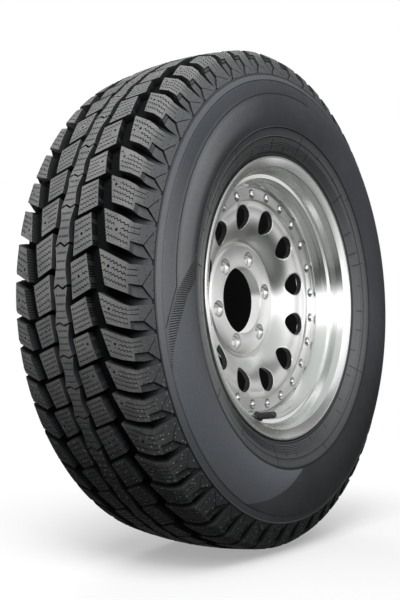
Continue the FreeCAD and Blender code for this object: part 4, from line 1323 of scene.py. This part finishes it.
# Rings of painted shade round the rivets and the lug seats: ring, low, high, share.
DISC_SHADE_RINGS = [(RIVET_RING, 6.0, 8.0, 0.75), (LUG_RING, 11.9, 13.2, 0.6)]
DISC_METAL = turned_metal(
    "turned_disc", (0.82, 0.82, 0.815), (0.94, 0.94, 0.93),
    smooth=0.27, dull=0.32, stretch=0.7, depth=0.01, shade_rings=DISC_SHADE_RINGS,
)
BACK_METAL = turned_metal(
    "raw_back", (0.3, 0.3, 0.295), (0.46, 0.46, 0.45),
    smooth=0.42, dull=0.56, stretch=0.0, depth=0.02,
)
# Near-black edges of cut metal, darkened as painted shade.
SHADED_CUT_METAL = turned_metal(
    "shaded_cut_edge", (0.045, 0.045, 0.044), (0.075, 0.075, 0.073),
    smooth=0.45, dull=0.62, stretch=0.0, depth=0.03,
)


def spotted(name, dark, light, smooth, dull, size, metal=False):
    """Small changes of tone and gloss; what isn't metal has a slightly uneven skin too."""
    made, tree, shader = new_material(name)
    at = place_of(tree)
    spots = noise(tree, at, size, 4.0)
    tree.links.new(blend_colours(tree, spots, dark, light), shader.inputs["Base Color"])
    tree.links.new(ramp(tree, spots, [(0.3, smooth), (0.75, dull)]), shader.inputs["Roughness"])
    shader.inputs["Metallic"].default_value = float(metal)
    if not metal:
        tree.links.new(bump(tree, noise(tree, at, size / 6), 0.2, 0.05), shader.inputs["Normal"])
    return made


# A ring of painted shade darkens the rivet where it meets the disc.
RIVET_SHADE_RINGS = [(RIVET_RING, 5.3, 9.0, 0.7)]
RIVET_METAL = turned_metal(
    "pressed_rivet", (0.86, 0.86, 0.86), (0.95, 0.95, 0.95),
    smooth=0.08, dull=0.16, stretch=0.0, depth=0.01, shade_rings=RIVET_SHADE_RINGS,
)
BRASS = spotted("turned_brass", (0.6, 0.42, 0.17), (0.78, 0.58, 0.28), 0.2, 0.4, 1.5, metal=True)
SPRING_STEEL = spotted("spring_wire", (0.42, 0.42, 0.43), (0.6, 0.6, 0.62), 0.2, 0.4, 0.6, metal=True)
VALVE_RUBBER = spotted("stem_rubber", (0.014, 0.014, 0.015), (0.03, 0.03, 0.032), 0.42, 0.62, 4.0)
SEAL_RUBBER = spotted("soft_seal", (0.02, 0.02, 0.02), (0.045, 0.045, 0.045), 0.55, 0.75, 1.5)
CAP_PLASTIC = spotted("cap_plastic", (0.02, 0.02, 0.022), (0.04, 0.04, 0.043), 0.3, 0.45, 3.0)
print("metals and plastics ready")

# %% [markdown]
# ## Rim
#
# The rim is spun from one blank: a rolled lip, a broad mirror band, a step, a second band and a
# narrow one round the disc, then the ring that carries the disc, the drop well, the barrel and
# the flange on the car's side. One section holds them all. Its corners are rounded a little,
# because a polished corner always shows as a thin bright line.

# %% Rim section
RIM_STEPS = 240
RIM_CORNER = 0.9
RIM_ANGLE = 40.0
rim_front = [
    (160.0, -38.0), (160.0, -44.0), (178.5, -44.0), (178.5, -55.2), (180.0, -58.6), (183.8, -66.0),
    (185.6, -68.4), (188.8, -74.0), (195.6, -75.2), (197.0, -79.0), (199.6, -87.5), (203.9, -97.0),
    (216.2, -102.8), (216.8, -102.5), (217.4, -103.1), (219.2, -103.1), (220.3, -101.4),
]
rim_tyre_side = [
    (220.3, -98.2), (215.5, -97.0), (211.5, -93.5), (210.8, -88.9), (209.0, -88.9), (202.8, -82.7),
    (201.3, -66.0), (184.5, -52.0), (184.5, -26.0), (196.0, -12.0), (196.0, 60.0), (201.3, 66.0),
    (202.8, 82.7), (209.0, 88.9), (210.8, 88.9), (211.5, 93.5), (215.5, 97.0), (220.3, 98.2),
]
rim_back = [
    (220.3, 101.5), (214.5, 101.5), (198.0, 88.9), (190.0, 60.0), (190.0, -6.0), (178.5, -23.0),
    (178.5, -38.0),
]
rim_section = rounded(rim_front + rim_tyre_side + rim_back, RIM_CORNER)
rim = lathe("spun_rim", rim_section, RIM_STEPS, RIM_METAL, RIM_ANGLE)
print("rim", len(rim.data.polygons), "faces")

# %% [markdown]
# ## Hole for the valve
#
# A snap-in valve needs a round hole through the step of the dish, with a flat seat round it. Its
# axis leans a little to the axle, so one matrix takes pieces that are turned upright to their
# place. The hole is cut with a Boolean, because it is the one thing on the rim that isn't turned
# round the axle.

# %% Place for the valve
VALVE_SEAT = Vector((-0.038984, -0.067, -0.183403))
VALVE_OUT = Vector((0.025338, -0.992546, 0.119206)).normalized()
valve_turn = Vector((0, 0, 1)).rotation_difference(VALVE_OUT).to_matrix().to_4x4()
VALVE_PLACE = Matrix.Translation(VALVE_SEAT) @ valve_turn
FLUTED_FROM_R = 4.6


def turned_on_valve(name, section, steps, material, wave=0.0, waves=0, band=(0, 0), angle=35.0):
    """Closed section of (radius, height) turned round the valve's axis, fluted in a band of heights."""
    turn = np.arange(steps) * 2 * math.pi / steps
    points = []
    for radius, height in section:
        fluted = wave if band[0] <= height <= band[1] and radius > FLUTED_FROM_R else 0.0
        reach = np.maximum(radius + fluted * (np.cos(waves * turn) - 1) / 2, 0.001)
        level = np.full(steps, height)
        points += np.stack([reach * np.cos(turn), reach * np.sin(turn), level], axis=1).tolist()
    made = add_mesh(name, points, ring_faces(len(section), steps), material, angle)
    made.data.transform(VALVE_PLACE)
    turn_outwards(made, angle)
    return made


def cut_away(piece, tool):
    """Subtract the tool from the piece and remove the tool."""
    modifier = piece.modifiers.new("cut", "BOOLEAN")
    modifier.object = tool
    modifier.operation = "DIFFERENCE"
    modifier.solver = "EXACT"
    bpy.context.view_layer.update()
    ready = piece.evaluated_get(bpy.context.evaluated_depsgraph_get())
    mesh = bpy.data.meshes.new_from_object(ready)
    piece.modifiers.clear()
    piece.data = mesh
    bpy.data.objects.remove(tool)


VALVE_HOLE = [(0.0, -9.0), (5.75, -9.0), (5.75, 0.0), (9.0, 0.0), (9.0, 24.0), (0.0, 24.0)]
cut_away(rim, turned_on_valve("valve_hole", VALVE_HOLE, 40, RIM_METAL))
finish_shading(rim.data, RIM_ANGLE)
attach(rim, "wheel")
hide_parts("rim")
print("rim with valve hole", len(rim.data.polygons), "faces")

# %% [markdown]
# ## Centre disc
#
# The disc is pressed into a bowl, then vents and lug holes are cut. Seen along the axle it is a
# flat drawing of circles, vents and holes, so that drawing is triangulated once. The front and
# the back then take their depth from the radius, the edges of vents are rolled inwards, lug holes
# open into cups, and every free edge gets a wall from front to back.

# %% Disc shape
VENT_FAR, VENT_NEAR = 133.0, 128.7
VENT_WIDE, VENT_NARROW = 18.8, 15.5
VENT_ROLL = 0.9
VENT_COUNT, VENT_FIRST = 12, 15.0
VENT_TURNS = np.radians(VENT_FIRST + 360 / VENT_COUNT * np.arange(VENT_COUNT))
LUG_R, LUG_COUNT, LUG_FIRST = LUG_RING
LUG_SEAT, LUG_HOLE, LUG_DEPTH = 13.0, 7.75, 5.5
LUG_TURNS = np.radians(LUG_FIRST + 360 / LUG_COUNT * np.arange(LUG_COUNT))
BORE_R, DISC_R = 54.0, 178.2
BOWL_FOOT_R, BOWL_RIM_R = 95.5, 147.8
BOWL_RIM_Y, BOWL_DEPTH = -43.2, 28.7
BOWL_REACH, BOWL_CURVE = 52.8, 2.4
DISC_RINGS = 180
DISC_ANGLE = 28.0


def vent_distance(flat):
    """Distance of points from the nearest vent's edge, below 0 inside it."""
    best = np.full(len(flat), 1e9)
    for turn in VENT_TURNS:
        out = flat @ np.array([math.cos(turn), math.sin(turn)])
        aside = np.abs(flat @ np.array([-math.sin(turn), math.cos(turn)]))
        along = VENT_FAR - out
        reach = VENT_FAR - VENT_NEAR
        lean = (VENT_WIDE - VENT_NARROW) / reach
        level = math.sqrt(1 - lean**2)
        k = -lean * aside + level * along
        wide = np.hypot(aside, along) - VENT_WIDE
        narrow = np.hypot(aside, along - reach) - VENT_NARROW
        flank = level * aside + lean * along - VENT_WIDE
        best = np.minimum(best, np.where(k < 0, wide, np.where(k > level * reach, narrow, flank)))
    return best


def lug_distance(flat):
    """Distance of points from the nearest lug hole's axis."""
    x, y = flat.T
    far = [np.hypot(x - LUG_R * math.cos(t), y - LUG_R * math.sin(t)) for t in LUG_TURNS]
    return np.min(far, axis=0)


def vent_outline(turn, grow, steps=22):
    """Egg-shaped outline of a vent, grown outwards by a distance."""
    lean = math.acos((VENT_WIDE - VENT_NARROW) / (VENT_FAR - VENT_NEAR))
    open_end = math.pi - lean
    points = []
    for centre, radius, angles in (
        (VENT_FAR, VENT_WIDE + grow, np.linspace(-open_end, open_end, steps)),
        (VENT_NEAR, VENT_NARROW + grow, np.linspace(open_end, 2 * math.pi - open_end, steps // 2)),
    ):
        points += [(centre + radius * math.cos(a), radius * math.sin(a)) for a in angles]
    points = np.array(points)
    return np.stack(
        [
            points[:, 0] * math.cos(turn) - points[:, 1] * math.sin(turn),
            points[:, 0] * math.sin(turn) + points[:, 1] * math.cos(turn),
        ],
        axis=1,
    )


bowl_r = np.linspace(BOWL_FOOT_R, BOWL_RIM_R, 16)
bowl_y = BOWL_RIM_Y + BOWL_DEPTH * ((BOWL_RIM_R - bowl_r) / BOWL_REACH) ** BOWL_CURVE
front_line = [
    (BORE_R, -16.3), (54.6, -17.2), (55.6, -17.5), (87.4, -17.5), (88.2, -17.2), (90.8, -14.9),
    (91.6, -14.5), (94.4, -14.5),
]
front_line += list(zip(bowl_r, bowl_y))
front_line += [
    (157.2, -44.9), (157.9, -45.3), (158.4, -49.0), (159.1, -49.6), (177.2, -49.6), (DISC_R, -48.8),
]
back_line = [
    (BORE_R, 0.0), (99.0, 0.0), (100.5, -1.4), (118.0, -26.6), (130.0, -32.4), (147.0, -34.4),
    (159.2, -34.6), (159.7, -44.0), (DISC_R, -44.0),
]
front_r, front_y = np.transpose(front_line)
back_r, back_y = np.transpose(back_line)


def front_depth(flat):
    """Place along the axle of the disc's front at flat points."""
    radius = np.hypot(flat[:, 0], flat[:, 1])
    depth = np.interp(radius, front_r, front_y)
    edge = np.clip(vent_distance(flat), 0, VENT_ROLL)
    depth = depth + VENT_ROLL - np.sqrt(VENT_ROLL**2 - (VENT_ROLL - edge) ** 2)
    cup = np.clip((LUG_SEAT - lug_distance(flat)) / (LUG_SEAT - LUG_HOLE), 0, 1)
    return depth + LUG_DEPTH * (1 - (1 - cup) ** 2.2)


disc_loops = [circle((0, 0), r, DISC_RINGS) for r in np.unique(np.concatenate([front_r, back_r]))]
for turn in VENT_TURNS:
    disc_loops += [vent_outline(turn, grow) for grow in (0.0, 0.12, 0.4, VENT_ROLL)]
for turn in LUG_TURNS:
    centre = (LUG_R * math.cos(turn), LUG_R * math.sin(turn))
    disc_loops += [circle(centre, r, 36) for r in (LUG_HOLE, 9.2, 10.6, 11.6, 12.4, 12.8, LUG_SEAT)]
flat, triangles = triangulated(disc_loops)
middle = flat[triangles].mean(axis=1)
middle_r = np.hypot(middle[:, 0], middle[:, 1])
in_metal = middle_r > BORE_R * math.cos(math.pi / DISC_RINGS)
in_metal &= vent_distance(middle) > -0.05
in_metal &= lug_distance(middle) > LUG_HOLE * 0.99
triangles = triangles[in_metal]
print("disc drawing", len(flat), "points", len(triangles), "triangles")

# %% [markdown]
# ## From the drawing to the disc
#
# The flat triangles are used twice, for the front and, turned over, for the back. The walls
# between them are as bright as the front in the bore and the lug holes, where a tool turned them,
# and dark in the vents and at the outer edge, which are only cut; their near-black is painted shade.

# %% Disc mesh
radius = np.hypot(flat[:, 0], flat[:, 1])
front = np.stack([flat[:, 0], front_depth(flat), flat[:, 1]], axis=1)
back = np.stack([flat[:, 0], np.interp(radius, back_r, back_y), flat[:, 1]], axis=1)
count = len(flat)
disc_faces = [(a, b, c) for a, b, c in triangles]
front_count = len(disc_faces)
disc_faces += [(a + count, c + count, b + count) for a, b, c in triangles]
edges = dict.fromkeys(edge for a, b, c in triangles for edge in ((a, b), (b, c), (c, a)))
FRONT, BACK, SHADED_CUT = 0, 1, 2
finish = [FRONT] * front_count + [BACK] * front_count
# An edge that no neighbour runs the other way is free.
for a, b in edges:
    if (b, a) not in edges:
        disc_faces.append((b, a, a + count, b + count))
        near_hole = lug_distance(flat[[a, b]]).max() < LUG_HOLE + 0.5
        near_bore = np.hypot(*flat[a]) < BORE_R + 0.5
        # Turned walls are bright; cut walls get the near-black painted shade.
        finish.append(FRONT if near_hole or near_bore else SHADED_CUT)
disc = add_mesh("turned_disc", np.vstack([front, back]), disc_faces, DISC_METAL, DISC_ANGLE)
disc.data.materials.append(BACK_METAL)
disc.data.materials.append(SHADED_CUT_METAL)
disc.data.polygons.foreach_set("material_index", finish)
work = bmesh.new()
work.from_mesh(disc.data)
bmesh.ops.delete(work, geom=[v for v in work.verts if not v.link_faces], context="VERTS")
bmesh.ops.recalc_face_normals(work, faces=work.faces)
work.to_mesh(disc.data)
work.free()
finish_shading(disc.data, DISC_ANGLE)
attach(disc, "wheel")
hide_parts("centre_disc")
print("disc", len(disc.data.polygons), "faces")

# %% [markdown]
# ## Rivets
#
# Twenty-four rivets hold the disc on the rim's ring. A rivet head is a low dome on a narrow
# collar. One head is turned, and the tree sets it on the points of the rivet circle.

# %% Rivets round the disc
def ring_tree():
    """Tree that sets one object on every point."""
    tree, group, out = new_tree("object_on_points", Piece="Object")
    piece = node(
        tree, "GeometryNodeObjectInfo", {"Object": group.outputs["Piece"]}, transform_space="ORIGINAL"
    )
    laid = node(
        tree,
        "GeometryNodeInstanceOnPoints",
        {"Points": group.outputs["Geometry"], "Instance": piece.outputs["Geometry"]},
    )
    finished(tree, laid.outputs[0], group.outputs["Material"], out)
    return tree


RIVET_CIRCLE, RIVET_COUNT, RIVET_FIRST = RIVET_RING
RIVET_FACE = -49.6
RIVET_STEPS = 20
COLLAR_R, COLLAR_FOOT, COLLAR_TOP = 6.6, 0.2, -0.35
DOME_R, DOME_FOOT, DOME_RISE = 6.1, -0.6, 3.2
dome_turns = np.linspace(0, math.pi / 2, 7)[:-1]
dome = [(DOME_R * math.cos(a), DOME_FOOT - DOME_RISE * math.sin(a)) for a in dome_turns]
rivet_section = [(COLLAR_R, COLLAR_FOOT), (COLLAR_R, COLLAR_TOP)] + dome
rivet_points = ring_points(*np.transpose(rivet_section), RIVET_STEPS).tolist()
rivet_points += [(0, DOME_FOOT - DOME_RISE, 0), (0, COLLAR_FOOT, 0)]
rivet_faces = ring_faces(len(rivet_section), RIVET_STEPS, closed=False)
next_step = [(j + 1) % RIVET_STEPS for j in range(RIVET_STEPS)]
last = (len(rivet_section) - 1) * RIVET_STEPS
peak, base = last + RIVET_STEPS, last + RIVET_STEPS + 1
rivet_faces += [(last + j, last + k, peak) for j, k in enumerate(next_step)]
rivet_faces += [(k, j, base) for j, k in enumerate(next_step)]
rivet = add_mesh("rivet_head", rivet_points, rivet_faces, linked=False)
turn_outwards(rivet)
rivet_turns = np.radians(RIVET_FIRST + 360 / RIVET_COUNT * np.arange(RIVET_COUNT))
rivet_places = [
    (RIVET_CIRCLE * math.cos(t) * MM, RIVET_FACE * MM, RIVET_CIRCLE * math.sin(t) * MM)
    for t in rivet_turns
]
rivet_base = point_mesh("rivet_places", rivet_places)
rivet_values = {"Piece": rivet, "Material": RIVET_METAL}
rivets = baked("rivets", rivet_base, ring_tree(), rivet_values, "wheel")
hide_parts("rim_rivets")

# %% [markdown]
# ## Valve
#
# A snap-in valve sits in the step of the dish: a rubber stem with a thick collar, and a screw
# cap with flutes for the fingers. Both are turned round the valve's own axis, which leans a
# little to the axle. The cap rides on its own body, so it lifts and turns when it is unscrewed.
# The parts inside, brass tube, pin and seals, keep their CAD shapes and get materials.

# %% Stem and cap
STEM_STEPS, CAP_STEPS = 40, 96
stem_section = rounded(
    [
        (3.1, -11.0), (8.6, -11.0), (9.2, -9.6), (9.2, -6.6), (7.2, -5.2), (5.65, -5.1), (5.65, 0.1),
        (7.6, 0.1), (7.6, 3.0), (6.6, 4.4), (5.6, 5.2), (5.4, 10.0), (5.0, 10.6), (5.0, 11.4),
        (5.4, 12.0), (5.4, 18.5), (3.1, 18.5),
    ],
    radius=0.5,
    parts=3,
)
stem = turned_on_valve("valve_stem_rubber", stem_section, STEM_STEPS, VALVE_RUBBER)
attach(stem, "wheel")
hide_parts("valve_stem")
cap_low, cap_high = 18.75, 33.6
cap_section = rounded(
    [
        (4.05, cap_low), (5.2, cap_low), (5.2, 20.4), (5.2, 20.8), (5.2, 29.6), (5.2, 30.2),
        (4.9, 30.6), (4.9, 31.2), (5.1, 31.6), (5.1, 32.4), (4.2, cap_high), (0.002, cap_high),
        (0.002, 31.7), (4.05, 31.7),
    ],
    radius=0.3,
    parts=2,
)
cap = turned_on_valve(
    "valve_cap_fluted", cap_section, CAP_STEPS, CAP_PLASTIC, wave=0.7, waves=16, band=(20.9, 29.5)
)
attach(cap, "cap")
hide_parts("valve_cap")
for name, material in (
    ("valve_tube", BRASS),
    ("valve_core_barrel", BRASS),
    ("valve_core_pin", BRASS),
    ("valve_core_seal", SEAL_RUBBER),
    ("valve_cap_seal", SEAL_RUBBER),
):
    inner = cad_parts[name]
    inner.data.materials.clear()
    inner.data.materials.append(material)
print("valve", len(stem.data.polygons), "and", len(cap.data.polygons), "faces")

# %% [markdown]
# ## Spring of the valve core
#
# Inside the tube a wire spring round the pin holds the valve shut. A spiral with a round wire
# is all it needs, so the tree has the coil's sizes as inputs. The pin's collar presses it together.

# %% Coil round the pin
COIL_LOW, COIL_HIGH = 23.25, 27.85
COIL_RADIUS = 1.225
COIL_WIRE = 0.3
COIL_TURNS = 6.0


def coil_tree():
    """Tree that winds a round wire into a coil that stands on Low."""
    sizes = ("Low", "Height", "Radius", "Wire", "Turns")
    tree, group, out = new_tree("wire_coil", **dict.fromkeys(sizes, "Float"))
    low, height, radius, wire, turns = [group.outputs[name] for name in sizes]
    winding = {
        "Resolution": 24,
        "Rotations": turns,
        "Start Radius": radius,
        "End Radius": radius,
        "Height": height,
    }
    spiral = node(tree, "GeometryNodeCurveSpiral", winding)
    section = node(tree, "GeometryNodeCurvePrimitiveCircle", {"Resolution": 8, "Radius": wire})
    wound = node(
        tree,
        "GeometryNodeCurveToMesh",
        {"Curve": spiral.outputs[0], "Profile Curve": section.outputs[0], "Fill Caps": True},
    )
    up = node(tree, "ShaderNodeCombineXYZ", {"Z": low})
    stood = node(
        tree, "GeometryNodeTransform", {"Geometry": wound.outputs[0], "Translation": up.outputs[0]}
    )
    finished(tree, stood.outputs[0], group.outputs["Material"], out)
    return tree


coil_sizes = {
    "Low": (COIL_LOW + COIL_WIRE / 2) * MM,
    "Height": (COIL_HIGH - COIL_LOW - COIL_WIRE) * MM,
    "Radius": COIL_RADIUS * MM,
    "Wire": COIL_WIRE / 2 * MM,
    "Turns": COIL_TURNS,
    "Material": SPRING_STEEL,
}
coil_start = point_mesh("coil_start", [(0, 0, 0)])
coil = baked("valve_spring_coil", coil_start, coil_tree(), coil_sizes, "wheel")
coil.data.transform(VALVE_PLACE)
turn_outwards(coil, 40.0)
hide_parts("valve_core_spring")
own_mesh(coil)

# %% [markdown]
# ## Studio
#
# The wheel stands on a pale floor against white. Camera, glossy and see-through rays find a white
# world, and other rays a softer one, so that the light on the rubber stays plain. The floor is
# white paint that fades into the world far from the tyre, and it keeps the tyre's shadow.

# %% Floor and world
FLOOR_Z = -0.3876
FLOOR_REACH = 9.0
FADE_FROM, FADE_TO, LEAST_GLOW = 0.3, 0.85, 0.3
SQUARE = ((-1, -1), (1, -1), (1, 1), (-1, 1))


def floor_material():
    """White paint; what the camera and reflections see of it fades into the white world."""
    made, tree, shader = new_material("pale_floor")
    at = node(tree, "ShaderNodeTexCoord").outputs["Object"]
    far = node(tree, "ShaderNodeVectorMath", {0: at}, operation="LENGTH").outputs["Value"]
    spots = node(tree, "ShaderNodeTexNoise", {"Vector": at, "Scale": 3.0}).outputs["Fac"]
    tint = ramp(tree, spots, [(0.3, 0.93), (0.7, 0.96)])
    tree.links.new(tint, shader.inputs["Base Color"])
    shader.inputs["Roughness"].default_value = 0.9
    shader.inputs["Specular IOR Level"].default_value = 0.1
    path = node(tree, "ShaderNodeLightPath")
    seen = calc(tree, "MAXIMUM", path.outputs["Is Camera Ray"], path.outputs["Is Glossy Ray"])
    fade = node(
        tree,
        "ShaderNodeMapRange",
        {0: far, 1: FADE_FROM, 2: FADE_TO, 3: LEAST_GLOW, 4: 1.0},
        clamp=True,
        interpolation_type="SMOOTHSTEP",
    )
    glow = node(tree, "ShaderNodeEmission", {"Color": (1, 1, 1, 1), "Strength": 1.0})
    mix = node(tree, "ShaderNodeMixShader", {0: calc(tree, "MULTIPLY", seen, fade.outputs[0])})
    tree.links.new(shader.outputs[0], mix.inputs[1])
    tree.links.new(glow.outputs[0], mix.inputs[2])
    out = next(n for n in tree.nodes if n.bl_idname == "ShaderNodeOutputMaterial")
    tree.links.new(mix.outputs[0], out.inputs["Surface"])
    return made


floor_mesh = bpy.data.meshes.new("floor")
floor_points = [(x * FLOOR_REACH, y * FLOOR_REACH, FLOOR_Z) for x, y in SQUARE]
floor_mesh.from_pydata(floor_points, [], [(0, 1, 2, 3)])
floor_mesh.materials.append(floor_material())
floor = bpy.data.objects.new("floor", floor_mesh)
scene.collection.objects.link(floor)

WORLD_LIGHT = 0.085
world = bpy.data.worlds.new("white_studio")
scene.world = world
world.use_nodes = True
tree = world.node_tree
tree.nodes.clear()
path = node(tree, "ShaderNodeLightPath")
seen = calc(tree, "MAXIMUM", path.outputs["Is Camera Ray"], path.outputs["Is Glossy Ray"])
seen = calc(tree, "MAXIMUM", seen, path.outputs["Is Transmission Ray"])
strength = node(tree, "ShaderNodeMapRange", {0: seen, 3: WORLD_LIGHT, 4: 1.0})
sky = node(tree, "ShaderNodeBackground", {"Color": (1, 1, 1, 1), "Strength": strength.outputs[0]})
node(tree, "ShaderNodeOutputWorld", {"Surface": sky.outputs[0]})
scene.view_settings.view_transform = "Standard"
print("floor at", FLOOR_Z)

# %% [markdown]
# ## Lamps
#
# Three soft boxes light the wheel: a strong one from the upper left, a weaker one from the front
# left and one from behind on the right. They are large, so shadows stay soft. The metal doesn't
# mirror them, because the cards of the next step give it its reflections.

# %% Lamps
def soft_lamp(name, place, size, power):
    """Square soft box that looks at the middle of the wheel."""
    data = bpy.data.lights.new(name, "AREA")
    data.shape = "SQUARE"
    data.size = size
    data.energy = power
    lamp = bpy.data.objects.new(name, data)
    lamp.location = place
    lamp.rotation_euler = (-Vector(place)).to_track_quat("-Z", "Y").to_euler()
    lamp.visible_glossy = False
    scene.collection.objects.link(lamp)
    print(name, power, "watts")


soft_lamp("key_lamp", (-1.9, -0.8, 2.4), size=1.5, power=90)
soft_lamp("front_lamp", (-1.6, -1.3, 1.3), size=1.2, power=26)
soft_lamp("back_lamp", (1.9, 1.7, 1.3), size=1.5, power=32)

# %% [markdown]
# ## Cards for the metal
#
# Polished metal shows what is round it, and in a white room it turns white. A studio puts grey
# and black cards where the metal looks, so it gets its dark and light bands. These cards are seen
# by reflections only. One dark card on the floor is met by diffuse rays only, so that the white
# floor doesn't light the lower tread. A black sheet behind the disc is painted shade: it keeps the
# vents as dark as they are in the photograph. Only the camera sees it, and only from the front, so
# the back of the wheel stays open.

# %% Cards and the sheet of painted shade
CARD_AWAY = 1600
CARD_FOOT, CARD_TOP = -380, 2200
SHADE_SHEET_STEPS = 96
SHADE_SHEET_Y, SHADE_SHEET_GAP = 6.0, 5.0


def card_material(name, stops, tint=(1, 1, 1), by_height=False):
    """Tone that doesn't depend on the lamps; a card is clear from behind.

    Stops are pairs of a distance from the wheel, or a height, in metres and the tone there.
    """
    made, tree, shader = new_material(name)
    tree.nodes.remove(shader)
    at = node(tree, "ShaderNodeTexCoord").outputs["Object"]
    away = node(tree, "ShaderNodeVectorMath", {0: at}, operation="LENGTH").outputs["Value"]
    if by_height:
        away = node(tree, "ShaderNodeSeparateXYZ", {0: at}).outputs[2]
    first, last = stops[0][0], stops[-1][0]
    brightest = max(tone for _, tone in stops)
    shades = [((place - first) / (last - first), tone / brightest) for place, tone in stops]
    tones = ramp(tree, spread(tree, away, first, last), shades)
    strength = calc(tree, "MULTIPLY", tones, brightest)
    glow = node(tree, "ShaderNodeEmission", {"Color": (*tint, 1), "Strength": strength})
    behind = node(tree, "ShaderNodeNewGeometry").outputs["Backfacing"]
    clear = node(tree, "ShaderNodeBsdfTransparent")
    mix = node(tree, "ShaderNodeMixShader", {0: behind, 1: glow.outputs[0], 2: clear.outputs[0]})
    out = next(n for n in tree.nodes if n.bl_idname == "ShaderNodeOutputMaterial")
    tree.links.new(mix.outputs[0], out.inputs["Surface"])
    made.cycles.emission_sampling = "NONE"
    return made


def only_seen_by(obj, camera=False, glossy=False, diffuse=False):
    """Limit which rays meet a stage object."""
    obj.visible_camera = camera
    obj.visible_glossy = glossy
    obj.visible_diffuse = diffuse
    obj.visible_transmission = False
    obj.visible_shadow = False


def add_card(name, corners, stops, tint=(1, 1, 1), by_height=False, flipped=False, diffuse=False):
    """Four-cornered card that only reflections see or, if diffuse, only diffuse rays."""
    faces = [(3, 2, 1, 0)] if flipped else [(0, 1, 2, 3)]
    card = add_mesh(name, corners, faces, card_material(name, stops, tint, by_height))
    only_seen_by(card, glossy=not diffuse, diffuse=diffuse)


def standing_card(name, across, span, height, stops, **looks):
    """Upright card across X at a distance, over a span of Y, seen from the wheel."""
    start, end = span
    foot = [(across, start, CARD_FOOT), (across, end, CARD_FOOT)]
    head = [(across, end, height), (across, start, height)]
    add_card(name, foot + head, stops, flipped=across < 0, **looks)


FAR_TONES = [(-0.38, 0.04), (-0.1, 0.2), (0.15, 0.8), (0.4, 1.0)]
RIGHT_TONES = [(-0.38, 0.1), (-0.2, 0.3), (-0.02, 0.85), (0.15, 0.92), (0.5, 0.22)]
FLOOR_TONES = [(0.4, 0.28), (0.65, 0.2), (0.85, 0.04), (1.6, 0.08), (2.0, 0.5), (2.6, 0.8)]
front_foot = [(-1300, -3200, CARD_FOOT), (1000, -3200, CARD_FOOT)]
front_head = [(1000, -3200, 1000), (-1300, -3200, 1000)]
floor_corners = [(-2600, -2600, -386), (2600, -2600, -386), (2600, 800, -386), (-2600, 800, -386)]
top_near = [(-4000, -4000, CARD_TOP), (3000, -4000, CARD_TOP)]
top_far = [(3000, 1000, CARD_TOP), (-4000, 1000, CARD_TOP)]
standing_card("near_card", CARD_AWAY, (300, -750), CARD_TOP, [(0, 0.12), (3, 0.12)], tint=(1, 1, 0.96))
standing_card("far_card", CARD_AWAY, (3000, 300), CARD_TOP, FAR_TONES, by_height=True)
standing_card("right_card", CARD_AWAY, (-750, -2600), CARD_TOP, RIGHT_TONES, by_height=True)
standing_card("left_card", -3000, (1000, -6000), 1300, [(0, 1.6), (9, 1.6)])
add_card("front_card", front_foot + front_head, [(0, 1.7), (9, 1.7)], flipped=True)
add_card("floor_card", floor_corners, FLOOR_TONES, tint=(0.95, 1, 0.95))
add_card("dark_card", floor_corners, [(0.5, 0.02), (2.6, 0.08)], diffuse=True)
add_card("top_card", top_near + top_far, [(2.2, 0.58), (4.0, 0.7)], tint=(0.96, 1, 0.97), flipped=True)
# A black sheet behind the disc is painted shade inside the barrel; only the camera sees it.
shade_sheet_line = [(0.01, SHADE_SHEET_Y), (BORE_R, SHADE_SHEET_Y)]
shade_sheet_line += [(r, y + SHADE_SHEET_GAP) for r, y in zip(back_r[1:-2], back_y[1:-2])]
shade_sheet_points = ring_points(*np.transpose(shade_sheet_line), SHADE_SHEET_STEPS)
shade_sheet_faces = [face[::-1] for face in ring_faces(len(shade_sheet_line), SHADE_SHEET_STEPS, closed=False)]
shade_sheet_material = card_material("black_lining", [(0.0, 0.003), (0.2, 0.006)])
shade_sheet = add_mesh("black_lining", shade_sheet_points, shade_sheet_faces, shade_sheet_material)
only_seen_by(shade_sheet, camera=True)
print("cards and lining ready")

# %% [markdown]
# ## Camera
#
# The camera was fitted to the circles of the tyre, the rim and the rivets in the photograph, and
# its lens, its place and its three directions are written down as they came out.

# %% Camera
camera_data = bpy.data.cameras.new("camera")
camera_data.lens = 48.76
camera_data.sensor_width = 36.0
camera = bpy.data.objects.new("camera", camera_data)
scene.collection.objects.link(camera)
right = Vector((0.59277618, -0.80536725, 0.0))
up = Vector((-0.06417446, -0.04723447, 0.99682022))
forward = Vector((0.80280636, 0.59089128, 0.07968348))
turned = Matrix((right, up, -forward)).transposed().to_4x4()
camera.matrix_world = Matrix.Translation(Vector((-1.097016, -0.739399, -0.104980))) @ turned
scene.camera = camera
print("camera lens", camera_data.lens, "mm")
